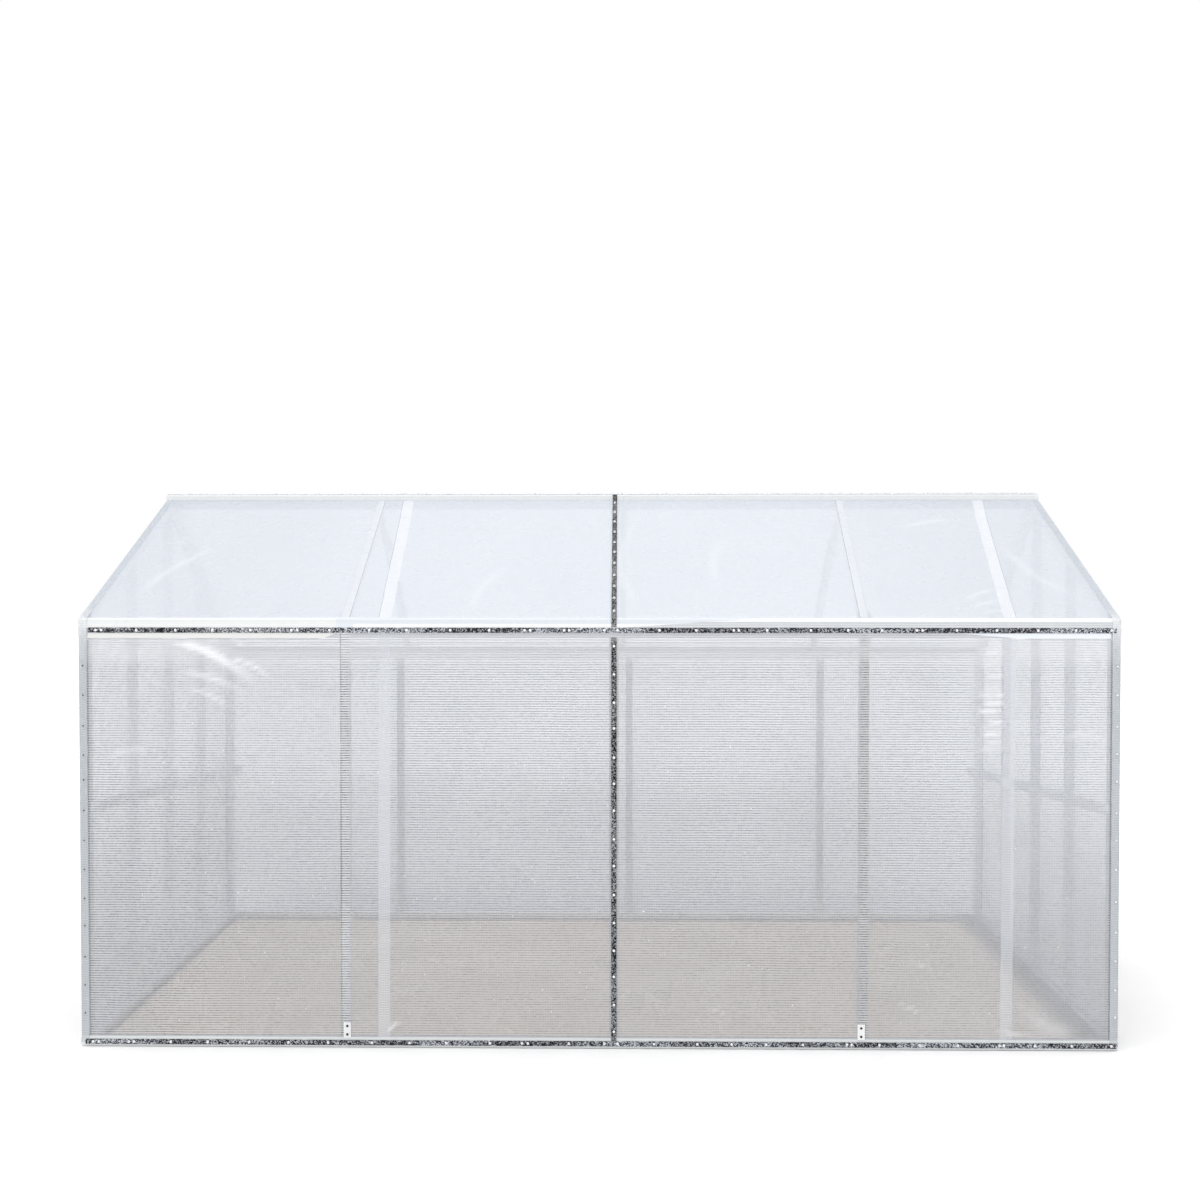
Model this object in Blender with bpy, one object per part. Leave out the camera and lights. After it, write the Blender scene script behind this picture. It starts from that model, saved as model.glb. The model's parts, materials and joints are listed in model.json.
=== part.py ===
"""Cold frame: a gable tube frame covered in clear reinforced film, with one hinged roof lid.

Metres, +Z up.  +X runs along the length, the high fixed side faces -Y, the lid side faces +Y.
"""
import bpy
import bmesh
from math import asin, atan2, cos, pi, sin, tan
from mathutils import Matrix, Vector

# ---- Overall tube frame -------------------------------------------------
HALF_LENGTH = 1.2185          # to the outer faces of the end tubes
HALF_DEPTH = 0.6085           # to the outer faces of the front and rear tubes
TUBE = 0.022                  # square frame tube
TUBE_WALL = 0.0015
OUTER_CORNER = 0.0012         # chamfers of the tubes
BORE_CORNER = 0.0005
GAP = 0.0003                  # fitting gap between separate pieces
FRONT_EAVE_Z = 0.990          # top of the front wall rail
ROOF_EAVE_Z = 1.012           # top of the roof rail that stands on it
REAR_EAVE_Z = 0.864           # top of the rear wall rail

# ---- Ridge --------------------------------------------------------------
RIDGE_Y = 0.030
RIDGE_TOP_Z = 1.3375
RIDGE_HEIGHT = 0.040
ROOF_CREASE_Z = 1.3206        # where the front roof meets the ridge face

# ---- Bays ---------------------------------------------------------------
FRONT_STUD_X = (-0.592, 0.040, 0.6255)
FRONT_RAFTER_TOP_X = (-0.613, 0.040, 0.665)
REAR_STUD_X = (-0.655, 0.084, 0.699)
END_STUD_Y = (-0.290, -0.005, 0.285)
SIDE_RAIL_FRONT_Z = 0.569
SIDE_RAIL_REAR_Z = 0.479

# ---- Film and battens ---------------------------------------------------
FILM = 0.0006
FILM_FOOT_Z = 0.002
EDGE_SETBACK = 0.001          # how far the roof film stops short of a bend or an edge
BATTEN_WIDTH = 0.012
BATTEN = 0.0015
BATTEN_END_GAP = 0.0005       # half of the gap between two lengths that butt
EAVE_BATTEN_TOP_Z = 0.992
EAVE_BATTEN_ENDS_X = (-1.197, 1.2095)
SILL_BATTEN_TOP_Z = 0.018
SILL_BATTEN_ENDS_X = (-1.210, 1.2165)
BATTEN_JOINT_X = 0.030        # where the two eave lengths and the two sill lengths butt
CENTRE_BATTEN_TOP_Z = 0.969

# ---- Lid ----------------------------------------------------------------
HINGE_Y = 0.0455
HINGE_Z = 1.3405
LID_START = 0.012             # distances along the lid from the hinge axis
LID_TOP = -0.0037             # top of the lid tubes, measured from the hinge axis
LID_TUBE_WIDTH = 0.020
LID_TUBE_HEIGHT = 0.012
LID_TUBE_WALL = 0.0012
LID_SEAT_GAP = 0.0005
LID_MUNTIN_X = (-0.630, 0.064, 0.677)

# ---- Hinge --------------------------------------------------------------
KNUCKLE_RADIUS = 0.0035
KNUCKLE_BORE = 0.0018
HINGE_PIN_RADIUS = 0.0015
HINGE_LEAF = 0.0015
KNUCKLE_COUNT = 20
KNUCKLE_END_GAP = 0.0004
LEAF_GAP = 0.0006             # between a leaf and the other leaf's knuckles
LEAF_REACH = 0.030            # far edge of the lid leaf from the hinge axis
NECK_START = 0.0025           # where a neck meets its knuckle, from the hinge axis
NECK_LAP = 0.002

# ---- Prop arms ----------------------------------------------------------
PROP_LENGTH = 0.470
PROP_WIDTH = 0.012
PROP_THICK = 0.004
PROP_PIVOT = 0.655            # along the lid from the hinge axis
PROP_SIDE_GAP = 0.0010
PROP_BOLT_RADIUS = 0.0025
PROP_HEAD_RADIUS = 0.0050
PROP_HEAD_THICK = 0.0030

FRONT_Y = -HALF_DEPTH
REAR_Y = HALF_DEPTH
RIDGE_FRONT_Y = RIDGE_Y - TUBE / 2
RIDGE_REAR_Y = RIDGE_Y + TUBE / 2
RAFTER_SEAT = LID_TOP - LID_TUBE_HEIGHT - LID_SEAT_GAP
HINGE = Vector((0.0, HINGE_Y, HINGE_Z))


def rear_slope():
    """Angle below level of the lid, so that its underside meets the rear rail's outer corner."""
    run = REAR_Y - HINGE_Y
    drop = HINGE_Z - REAR_EAVE_Z
    reach = (run ** 2 + drop ** 2) ** 0.5
    return atan2(drop, run) - asin(-RAFTER_SEAT / reach)


FRONT_SLOPE = atan2(ROOF_CREASE_Z - ROOF_EAVE_Z, RIDGE_FRONT_Y - FRONT_Y)
REAR_SLOPE = rear_slope()
LID_END = (HALF_DEPTH + 0.0027 - HINGE_Y - (LID_TOP + GAP + FILM) * sin(REAR_SLOPE)) / cos(REAR_SLOPE)


# ---- Scene helpers ------------------------------------------------------
def clear_scene():
    for obj in list(bpy.data.objects):
        bpy.data.objects.remove(obj, do_unlink=True)


def material(name, colour, rough, metal, alpha=1.0):
    mat = bpy.data.materials.new(name)
    mat.use_nodes = True
    shader = mat.node_tree.nodes["Principled BSDF"]
    shader.inputs["Base Color"].default_value = (*colour, 1.0)
    shader.inputs["Roughness"].default_value = rough
    shader.inputs["Metallic"].default_value = metal
    shader.inputs["Alpha"].default_value = alpha
    return mat


FINISHES = {
    "tube": ((0.72, 0.74, 0.74), 0.42, 0.75, 1.0),
    "film": ((0.82, 0.85, 0.88), 0.35, 0.0, 0.45),
    "batten": ((0.20, 0.21, 0.22), 0.45, 0.85, 1.0),
    "steel": ((0.55, 0.56, 0.58), 0.35, 0.9, 1.0),
}


def add_object(name, bm, finish, pivot=None):
    """Turn a bmesh into a named object with its own material and its origin on the pivot."""
    bmesh.ops.recalc_face_normals(bm, faces=bm.faces[:])
    origin = Vector(pivot) if pivot is not None else Vector((0.0, 0.0, 0.0))
    bmesh.ops.translate(bm, verts=bm.verts[:], vec=-origin)
    mesh = bpy.data.meshes.new(name)
    bm.to_mesh(mesh)
    bm.free()
    obj = bpy.data.objects.new(name, mesh)
    obj.location = origin
    bpy.context.scene.collection.objects.link(obj)
    colour, rough, metal, alpha = FINISHES[finish]
    mesh.materials.append(material(name + "_finish", colour, rough, metal, alpha))
    return obj


def shade_round(obj, angle=0.6):
    for poly in obj.data.polygons:
        poly.use_smooth = True
    obj.data.set_sharp_from_angle(angle=angle)


# ---- Solid builders -----------------------------------------------------
def rect_loop(width, height, chamfer):
    """Eight corner points of a rectangle with small chamfers, centred on the origin."""
    w = width / 2
    h = height / 2
    c = chamfer
    return [(w - c, -h), (w, -h + c), (w, h - c), (w - c, h),
            (-w + c, h), (-w, h - c), (-w, -h + c), (-w + c, -h)]


def hit_plane(point, direction, plane):
    base, normal = plane
    return point + direction * ((base - point).dot(normal) / direction.dot(normal))


def ring_faces(bm, loop_a, loop_b):
    count = len(loop_a)
    for i in range(count):
        j = (i + 1) % count
        bm.faces.new((loop_a[i], loop_a[j], loop_b[j], loop_b[i]))


def tube(name, start, end, up, size=(TUBE, TUBE), wall=TUBE_WALL, cuts=(None, None), pivot=None):
    """Hollow rectangular tube between two points, each end cut square or by a given plane."""
    a = Vector(start)
    b = Vector(end)
    run = (b - a).normalized()
    side = run.cross(Vector(up)).normalized()
    top = side.cross(run).normalized()
    width, height = size
    outer = rect_loop(width, height, OUTER_CORNER)
    inner = rect_loop(width - 2 * wall, height - 2 * wall, BORE_CORNER)
    planes = [cuts[0] or (a, run), cuts[1] or (b, run)]
    bm = bmesh.new()
    loops = []
    for plane in planes:
        for outline in (outer, inner):
            points = [hit_plane(a + side * u + top * v, run, plane) for u, v in outline]
            loops.append([bm.verts.new(p) for p in points])
    near_out, near_in, far_out, far_in = loops
    ring_faces(bm, near_out, far_out)
    ring_faces(bm, near_in, far_in)
    ring_faces(bm, near_out, near_in)
    ring_faces(bm, far_out, far_in)
    return add_object(name, bm, "tube", pivot)


def extrude_outline(bm, outline, offset):
    """Closed prism from an outline of 3-D points and the vector to its other face."""
    base = [bm.verts.new(p) for p in outline]
    top = [bm.verts.new(Vector(p) + Vector(offset)) for p in outline]
    bm.faces.new(base)
    bm.faces.new(list(reversed(top)))
    ring_faces(bm, base, top)


def prism(name, outline, offset, finish, pivot=None):
    bm = bmesh.new()
    extrude_outline(bm, outline, offset)
    return add_object(name, bm, finish, pivot)


def offset_path(path, distance):
    """Shift an open (y, z) path to its left by a distance, with mitred corners."""
    shifted = []
    normals = []
    for (y0, z0), (y1, z1) in zip(path, path[1:]):
        length = ((y1 - y0) ** 2 + (z1 - z0) ** 2) ** 0.5
        normals.append((-(z1 - z0) / length, (y1 - y0) / length))
    for i, (y, z) in enumerate(path):
        before = normals[max(i - 1, 0)]
        after = normals[min(i, len(normals) - 1)]
        scale = distance / (1 + before[0] * after[0] + before[1] * after[1])
        shifted.append((y + (before[0] + after[0]) * scale, z + (before[1] + after[1]) * scale))
    return shifted


def bent_sheet(name, path, near, far, x0, x1, finish):
    """Sheet that follows a (y, z) path between two distances off it, from x0 to x1."""
    inner = offset_path(path, near)
    outer = offset_path(path, far)
    outline = [(x0, y, z) for y, z in inner + outer[::-1]]
    return prism(name, outline, (x1 - x0, 0, 0), finish)


def box(name, low, high, finish, pivot=None):
    x0, y0, z0 = low
    x1, y1, z1 = high
    outline = [(x0, y0, z0), (x1, y0, z0), (x1, y1, z0), (x0, y1, z0)]
    return prism(name, outline, (0, 0, z1 - z0), finish, pivot)


def cylinder(name, centre, radius, length, finish, sides=16, pivot=None):
    """Closed cylinder along X, centred on a point."""
    bm = bmesh.new()
    turn = Matrix.Translation(centre) @ Matrix.Rotation(pi / 2, 4, "Y")
    bmesh.ops.create_cone(bm, cap_ends=True, segments=sides, radius1=radius, radius2=radius,
                          depth=length, matrix=turn)
    return add_object(name, bm, finish, pivot)


def combine(target, tool, operation):
    """Apply one exact boolean and remove the tool object."""
    mod = target.modifiers.new("join", "BOOLEAN")
    mod.operation = operation
    mod.solver = "EXACT"
    mod.object = tool
    bpy.context.view_layer.update()
    result = bpy.data.meshes.new_from_object(target.evaluated_get(bpy.context.evaluated_depsgraph_get()))
    target.modifiers.clear()
    old = target.data
    target.data = result
    result.name = target.name
    bpy.data.meshes.remove(old)
    bpy.data.objects.remove(tool, do_unlink=True)


# ---- Fixed frame --------------------------------------------------------
def upright(name, x, y, low, high, cut=None):
    return tube(name, (x, y, low), (x, y, high), (0, 1, 0), cuts=(None, cut))


def along_x(name, y, z, half=HALF_LENGTH, size=(TUBE, TUBE)):
    return tube(name, (-half, y, z), (half, y, z), (0, 0, 1), size=size)


def build_walls():
    mid = TUBE / 2
    front = FRONT_Y + mid
    rear = REAR_Y - mid
    end = HALF_LENGTH - mid
    foot = TUBE + GAP
    along_x("sill_front", front, mid)
    along_x("sill_rear", rear, mid)
    along_x("eave_rail_front", front, FRONT_EAVE_Z - mid)
    along_x("eave_rail_rear", rear, REAR_EAVE_Z - mid)
    for side, x in (("left", -end), ("right", end)):
        inner = HALF_DEPTH - TUBE - GAP
        tube("sill_" + side, (x, -inner, mid), (x, inner, mid), (0, 0, 1))
        upright("post_front_" + side, x, front, foot, FRONT_EAVE_Z - TUBE - GAP)
        upright("post_rear_" + side, x, rear, foot, REAR_EAVE_Z - TUBE - GAP)
    for side, x in zip(("left", "centre", "right"), FRONT_STUD_X):
        upright("stud_front_" + side, x, front, foot, FRONT_EAVE_Z - TUBE - GAP)
    for side, x in zip(("left", "centre", "right"), REAR_STUD_X):
        upright("stud_rear_" + side, x, rear, foot, REAR_EAVE_Z - TUBE - GAP)


def front_rafter_underside():
    """Plane just under the front rafters."""
    normal = Vector((0, -sin(FRONT_SLOPE), cos(FRONT_SLOPE)))
    return Vector((0, FRONT_Y, ROOF_EAVE_Z)) - normal * (TUBE + GAP), normal


def rear_rafter_underside():
    """Plane just under the rear rafters."""
    normal = Vector((0, sin(REAR_SLOPE), cos(REAR_SLOPE)))
    return Vector((0, REAR_Y, REAR_EAVE_Z)) - normal * (TUBE + GAP), normal


def build_end_walls():
    end = HALF_LENGTH - TUBE / 2
    foot = TUBE + GAP
    rail_x = end - TUBE - GAP
    reach = HALF_DEPTH - 0.0005
    for side, sign in (("left", -1), ("right", 1)):
        for place, y in zip(("front", "middle", "rear"), END_STUD_Y):
            cut = front_rafter_underside() if y < RIDGE_FRONT_Y - TUBE / 2 else rear_rafter_underside()
            upright("stud_" + side + "_" + place, sign * end, y, foot, 1.0, cut)
        tube("side_rail_" + side, (sign * rail_x, -reach, SIDE_RAIL_FRONT_Z),
             (sign * rail_x, reach, SIDE_RAIL_REAR_Z), (0, 0, 1),
             cuts=((Vector((0, -reach, 0)), Vector((0, 1, 0))), (Vector((0, reach, 0)), Vector((0, 1, 0)))))


def build_roof():
    along_x("roof_rail_front", FRONT_Y + TUBE / 2, ROOF_EAVE_Z - TUBE / 2 + GAP,
            size=(TUBE, TUBE - 2 * GAP))
    along_x("ridge", RIDGE_Y, RIDGE_TOP_Z - RIDGE_HEIGHT / 2, size=(TUBE, RIDGE_HEIGHT))
    end = HALF_LENGTH - TUBE / 2
    names = ("end_left", "left", "centre", "right", "end_right")
    feet = (-end, *FRONT_STUD_X, end)
    tops = (-end, *FRONT_RAFTER_TOP_X, end)
    along = Vector((0, 1, 0))
    normal = Vector((0, -sin(FRONT_SLOPE), cos(FRONT_SLOPE)))
    drop = normal * (-TUBE / 2)
    cuts = ((Vector((0, FRONT_Y + TUBE + GAP, 0)), along), (Vector((0, RIDGE_FRONT_Y - GAP, 0)), along))
    for name, foot, top in zip(names, feet, tops):
        tube("rafter_front_" + name, Vector((foot, FRONT_Y, ROOF_EAVE_Z)) + drop,
             Vector((top, RIDGE_FRONT_Y, ROOF_CREASE_Z)) + drop, normal, cuts=cuts)
    normal = Vector((0, sin(REAR_SLOPE), cos(REAR_SLOPE)))
    drop = normal * (-TUBE / 2)
    head = Vector((0, HINGE_Y, HINGE_Z)) + normal * RAFTER_SEAT
    cuts = ((Vector((0, RIDGE_REAR_Y + GAP, 0)), along), (Vector((0, REAR_Y - TUBE - GAP, 0)), along))
    for side, x in (("left", -end), ("right", end)):
        shift = Vector((x, 0, 0))
        tube("rafter_rear_" + side, head + shift + drop,
             Vector((0, REAR_Y, REAR_EAVE_Z)) + shift + drop, normal, cuts=cuts)


# ---- Film and battens ---------------------------------------------------
def roof_cover_path():
    """Outer line of the fixed roof tubes from just above the eave bend to the ridge top."""
    return [(FRONT_Y + EDGE_SETBACK, ROOF_EAVE_Z + EDGE_SETBACK * tan(FRONT_SLOPE)),
            (RIDGE_FRONT_Y, ROOF_CREASE_Z), (RIDGE_FRONT_Y, RIDGE_TOP_Z),
            (RIDGE_REAR_Y - EDGE_SETBACK, RIDGE_TOP_Z)]


def build_films():
    bent_sheet("film_roof", roof_cover_path(), GAP, GAP + FILM, -HALF_LENGTH, HALF_LENGTH, "film")
    for name, near, top in (("film_front", FRONT_Y - GAP - FILM, ROOF_EAVE_Z),
                            ("film_rear", REAR_Y + GAP, REAR_EAVE_Z)):
        box(name, (-HALF_LENGTH, near, FILM_FOOT_Z), (HALF_LENGTH, near + FILM, top), "film")
    seat = REAR_EAVE_Z + (REAR_Y - RIDGE_REAR_Y) * tan(REAR_SLOPE)
    gable = [(FRONT_Y, FILM_FOOT_Z), (FRONT_Y, ROOF_EAVE_Z), (RIDGE_FRONT_Y, ROOF_CREASE_Z),
             (RIDGE_FRONT_Y, RIDGE_TOP_Z), (RIDGE_REAR_Y, RIDGE_TOP_Z), (RIDGE_REAR_Y, seat),
             (REAR_Y, REAR_EAVE_Z), (REAR_Y, FILM_FOOT_Z)]
    inner = HALF_LENGTH + GAP
    prism("film_left", [(-inner, y, z) for y, z in gable], (-FILM, 0, 0), "film")
    prism("film_right", [(inner, y, z) for y, z in gable], (FILM, 0, 0), "film")


def front_batten(name, x0, x1, z0, z1):
    back = FRONT_Y - 2 * GAP - FILM
    box(name, (x0, back - BATTEN, z0), (x1, back, z1), "batten")


def batten_pair(name, ends, top):
    """Two lengths that butt near the middle of the front."""
    low = top - BATTEN_WIDTH
    front_batten(name + "_left", ends[0], BATTEN_JOINT_X - BATTEN_END_GAP, low, top)
    front_batten(name + "_right", BATTEN_JOINT_X + BATTEN_END_GAP, ends[1], low, top)


def build_battens():
    batten_pair("batten_eave", EAVE_BATTEN_ENDS_X, EAVE_BATTEN_TOP_Z)
    batten_pair("batten_sill", SILL_BATTEN_ENDS_X, SILL_BATTEN_TOP_Z)
    left = FRONT_STUD_X[1] - BATTEN_WIDTH / 2
    right = left + BATTEN_WIDTH
    front_batten("batten_front_centre", left, right, SILL_BATTEN_TOP_Z + EDGE_SETBACK, CENTRE_BATTEN_TOP_Z)
    path = [(FRONT_Y, EAVE_BATTEN_TOP_Z + 2 * EDGE_SETBACK), (FRONT_Y, ROOF_EAVE_Z),
            (RIDGE_FRONT_Y, ROOF_CREASE_Z), (RIDGE_FRONT_Y, RIDGE_TOP_Z + EDGE_SETBACK)]
    near = 2 * GAP + FILM
    bent_sheet("batten_roof_centre", path, near, near + BATTEN, left, right, "batten")


# ---- Lid ----------------------------------------------------------------
def on_lid(x, along, height):
    """World point from lid coordinates: x, distance down the lid, height above the hinge axis."""
    return Vector((x, HINGE_Y + along * cos(REAR_SLOPE) + height * sin(REAR_SLOPE),
                   HINGE_Z - along * sin(REAR_SLOPE) + height * cos(REAR_SLOPE)))


def lid_tube(name, x0, along0, x1, along1):
    height = LID_TOP - LID_TUBE_HEIGHT / 2
    normal = (0, sin(REAR_SLOPE), cos(REAR_SLOPE))
    return tube(name, on_lid(x0, along0, height), on_lid(x1, along1, height), normal,
                size=(LID_TUBE_WIDTH, LID_TUBE_HEIGHT), wall=LID_TUBE_WALL, pivot=HINGE)


def lid_plate(name, x0, x1, along0, along1, height0, height1, finish):
    outline = [on_lid(x0, along0, height0), on_lid(x1, along0, height0),
               on_lid(x1, along1, height0), on_lid(x0, along1, height0)]
    offset = on_lid(0, 0, height1) - on_lid(0, 0, height0)
    return prism(name, outline, offset, finish, HINGE)


def build_lid():
    half = LID_TUBE_WIDTH / 2
    stile = HALF_LENGTH - half
    lid_tube("lid_stile_left", -stile, LID_START, -stile, LID_END)
    lid_tube("lid_stile_right", stile, LID_START, stile, LID_END)
    reach = HALF_LENGTH - LID_TUBE_WIDTH - GAP
    lid_tube("lid_top_rail", -reach, LID_START + half, reach, LID_START + half)
    lid_tube("lid_bottom_rail", -reach, LID_END - half, reach, LID_END - half)
    first = LID_START + LID_TUBE_WIDTH + GAP
    last = LID_END - LID_TUBE_WIDTH - GAP
    for side, x in zip(("left", "centre", "right"), LID_MUNTIN_X):
        lid_tube("lid_muntin_" + side, x, first, x, last)
    lid_plate("lid_film", -HALF_LENGTH, HALF_LENGTH, LID_START, LID_END,
              LID_TOP + GAP, LID_TOP + GAP + FILM, "film")


# ---- Piano hinge --------------------------------------------------------
def knuckle_spans():
    pitch = 2 * HALF_LENGTH / KNUCKLE_COUNT
    for i in range(KNUCKLE_COUNT):
        low = -HALF_LENGTH + i * pitch + KNUCKLE_END_GAP
        yield i % 2, low, low + pitch - 2 * KNUCKLE_END_GAP


def add_knuckles(leaf, parity, neck_maker):
    """Join every second knuckle to a leaf, each with a short neck, then bore them."""
    for kind, low, high in knuckle_spans():
        if kind != parity:
            continue
        middle = Vector(((low + high) / 2, HINGE_Y, HINGE_Z))
        combine(leaf, neck_maker(low, high), "UNION")
        combine(leaf, cylinder("knuckle", middle, KNUCKLE_RADIUS, high - low, "steel", pivot=HINGE), "UNION")
    combine(leaf, cylinder("bore", HINGE, KNUCKLE_BORE, 3 * HALF_LENGTH, "steel", pivot=HINGE), "DIFFERENCE")
    shade_round(leaf)


def build_hinge():
    low = RIDGE_TOP_Z + 2 * GAP + FILM
    high = low + HINGE_LEAF
    near = HINGE_Y - KNUCKLE_RADIUS - LEAF_GAP
    ends = HALF_LENGTH - KNUCKLE_END_GAP
    fixed = box("hinge_leaf_ridge", (-ends, RIDGE_FRONT_Y + 0.0025, low), (ends, near, high), "steel", HINGE)
    add_knuckles(fixed, 0, lambda x0, x1: box(
        "neck", (x0, near - NECK_LAP, low), (x1, HINGE_Y - NECK_START, high), "steel", HINGE))
    top = LID_TOP + 2 * GAP + FILM + HINGE_LEAF
    base = top - HINGE_LEAF
    start = KNUCKLE_RADIUS + LEAF_GAP
    moving = lid_plate("hinge_leaf_lid", -ends, ends, start, LEAF_REACH, base, top, "steel")
    add_knuckles(moving, 1, lambda x0, x1: lid_plate(
        "neck", x0, x1, NECK_START, start + NECK_LAP, base, top, "steel"))
    pin = cylinder("hinge_pin", HINGE, HINGE_PIN_RADIUS, 2 * HALF_LENGTH, "steel", pivot=HINGE)
    shade_round(pin)


# ---- Prop arms ----------------------------------------------------------
def arm_outline(x):
    """Arm in lid coordinates: round at the pivot, with a hook notch near the free end."""
    half = PROP_WIDTH / 2
    height = LID_TOP - half
    steps = 10
    points = []
    for i in range(steps + 1):
        turn = -pi / 2 + pi * i / steps
        points.append((PROP_PIVOT + half * cos(turn), height + half * sin(turn)))
    tip = PROP_PIVOT - PROP_LENGTH
    points += [(tip + 0.002, height + half), (tip, height + half - 0.002), (tip, height - half + 0.002),
               (tip + 0.002, height - half), (tip + 0.012, height - half), (tip + 0.012, height - 0.001),
               (tip + 0.020, height - 0.001), (tip + 0.020, height - half)]
    return [on_lid(x, along, up) for along, up in points]


def build_prop(side, muntin_x, toward):
    """Arm beside a muntin, on the bolt that runs through both."""
    height = LID_TOP - PROP_WIDTH / 2
    face = muntin_x + toward * (LID_TUBE_WIDTH / 2 + PROP_SIDE_GAP)
    pivot = on_lid(face + toward * PROP_THICK / 2, PROP_PIVOT, height)
    arm = prism("prop_arm_" + side, arm_outline(face), (toward * PROP_THICK, 0, 0), "tube", pivot)
    hole = cylinder("hole", pivot, PROP_BOLT_RADIUS + GAP, 0.02, "steel", 20, pivot)
    combine(arm, hole, "DIFFERENCE")
    muntin = bpy.data.objects["lid_muntin_" + side]
    middle = on_lid(muntin_x, PROP_PIVOT, height)
    combine(muntin, cylinder("hole", middle, PROP_BOLT_RADIUS + GAP, 0.03, "tube", 20, HINGE), "DIFFERENCE")
    inner = face + toward * (PROP_THICK + GAP)
    outer = muntin_x - toward * (LID_TUBE_WIDTH / 2 + GAP)
    span = abs(inner - outer)
    centre = on_lid((inner + outer) / 2, PROP_PIVOT, height)
    bolt = cylinder("prop_bolt_" + side, centre, PROP_BOLT_RADIUS, span + 0.001, "steel", 20, HINGE)
    for x, sign in ((inner, toward), (outer, -toward)):
        spot = on_lid(x + sign * PROP_HEAD_THICK / 2, PROP_PIVOT, height)
        combine(bolt, cylinder("head", spot, PROP_HEAD_RADIUS, PROP_HEAD_THICK, "steel", 6, HINGE), "UNION")
    shade_round(bolt)


def main():
    clear_scene()
    build_walls()
    build_end_walls()
    build_roof()
    build_films()
    build_battens()
    build_lid()
    build_hinge()
    build_prop("left", LID_MUNTIN_X[0], 1)
    build_prop("right", LID_MUNTIN_X[2], -1)


main()
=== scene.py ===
"""Looks for the cold frame: film panels with scrim, folds and seams, battens, screws and finishes."""

import json
import random
from math import atan2, cos, pi, radians, sin

import bmesh
import bpy
import numpy as np
from mathutils import Euler, Matrix, Vector


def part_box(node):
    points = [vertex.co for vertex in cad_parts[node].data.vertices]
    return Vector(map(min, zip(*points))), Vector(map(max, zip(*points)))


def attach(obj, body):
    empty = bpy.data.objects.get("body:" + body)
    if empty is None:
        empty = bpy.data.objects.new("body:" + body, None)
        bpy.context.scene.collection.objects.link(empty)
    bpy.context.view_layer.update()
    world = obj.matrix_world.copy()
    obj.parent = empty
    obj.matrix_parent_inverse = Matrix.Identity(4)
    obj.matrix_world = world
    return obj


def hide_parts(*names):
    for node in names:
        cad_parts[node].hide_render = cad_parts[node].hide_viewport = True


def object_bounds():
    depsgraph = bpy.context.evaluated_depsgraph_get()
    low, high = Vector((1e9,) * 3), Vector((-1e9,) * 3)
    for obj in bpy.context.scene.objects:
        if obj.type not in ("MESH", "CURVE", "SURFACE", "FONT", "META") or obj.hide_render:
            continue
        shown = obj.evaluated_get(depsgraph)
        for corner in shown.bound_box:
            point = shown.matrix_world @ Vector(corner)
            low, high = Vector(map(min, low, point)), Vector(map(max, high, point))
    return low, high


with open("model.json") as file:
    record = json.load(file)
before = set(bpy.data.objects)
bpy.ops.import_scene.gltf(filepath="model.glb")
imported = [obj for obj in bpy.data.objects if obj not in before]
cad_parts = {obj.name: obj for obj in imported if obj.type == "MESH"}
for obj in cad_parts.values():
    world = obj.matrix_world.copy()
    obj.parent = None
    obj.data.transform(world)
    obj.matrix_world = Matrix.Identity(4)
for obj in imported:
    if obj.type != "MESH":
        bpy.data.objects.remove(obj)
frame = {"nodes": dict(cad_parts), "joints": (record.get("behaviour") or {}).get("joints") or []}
cad_low, cad_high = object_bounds()

# ---- Places, read from the frame ----


def low(node):
    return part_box(node)[0]


def high(node):
    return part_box(node)[1]


def middle(node):
    return (low(node) + high(node)) / 2


def three(start):
    """x of the left, centre and right pieces of a kind."""
    return [middle(start + side).x for side in ("left", "centre", "right")]


TUBE = high("sill_front").z - low("sill_front").z
FRONT_Y = low("sill_front").y
REAR_Y = high("sill_rear").y
END_X = high("sill_front").x
FOOT_Z = low("film_front").z
EAVE_Z = high("roof_rail_front").z
REAR_EAVE_Z = high("eave_rail_rear").z
RIDGE_FRONT_Y = low("ridge").y
RIDGE_REAR_Y = high("ridge").y
RIDGE_Z = high("ridge").z
FRONT_RISE = 0.4918      # of the front roof, per metre of run
CREASE_Z = EAVE_Z + (RIDGE_FRONT_Y - FRONT_Y) * FRONT_RISE
FRONT_SLOPE = atan2(CREASE_Z - EAVE_Z, RIDGE_FRONT_Y - FRONT_Y)
ENDS = (("left", -1), ("right", 1))
STUD_X = three("stud_front_")
RAFTER_TOP_X = [low("rafter_front_left").x + TUBE / 2, STUD_X[1], high("rafter_front_right").x - TUBE / 2]
HINGE = Vector(frame["joints"][0]["pos_m"])

FILM_OFF = 0.0009        # film surface off the tube faces
LAP_OFF = 0.0010         # welded laps
HEM_OFF = 0.00105        # doubled film at the edges
BATTEN_OFF = 0.0012      # back of a batten off the tube faces
BATTEN_THICK = 0.0015
BATTEN_WIDTH = 0.012
PLATE_THICK = 0.0012     # foot plates and rail plugs
SCREW_PITCH = 0.094      # usual spacing along a batten
CLOSE_PITCH = 0.067      # spacing along the centre battens
SCREW_RADIUS = 0.0032
SCRIM_PITCH = 0.0058
FILM_STEP = 0.009        # mesh spacing on the film panels
EAVE_PAINTED_LIGHT = 0.26         # painted light: a soft whiter band below the eave
LID_THICK = 0.012        # lid stiles, square to the lid


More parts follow.
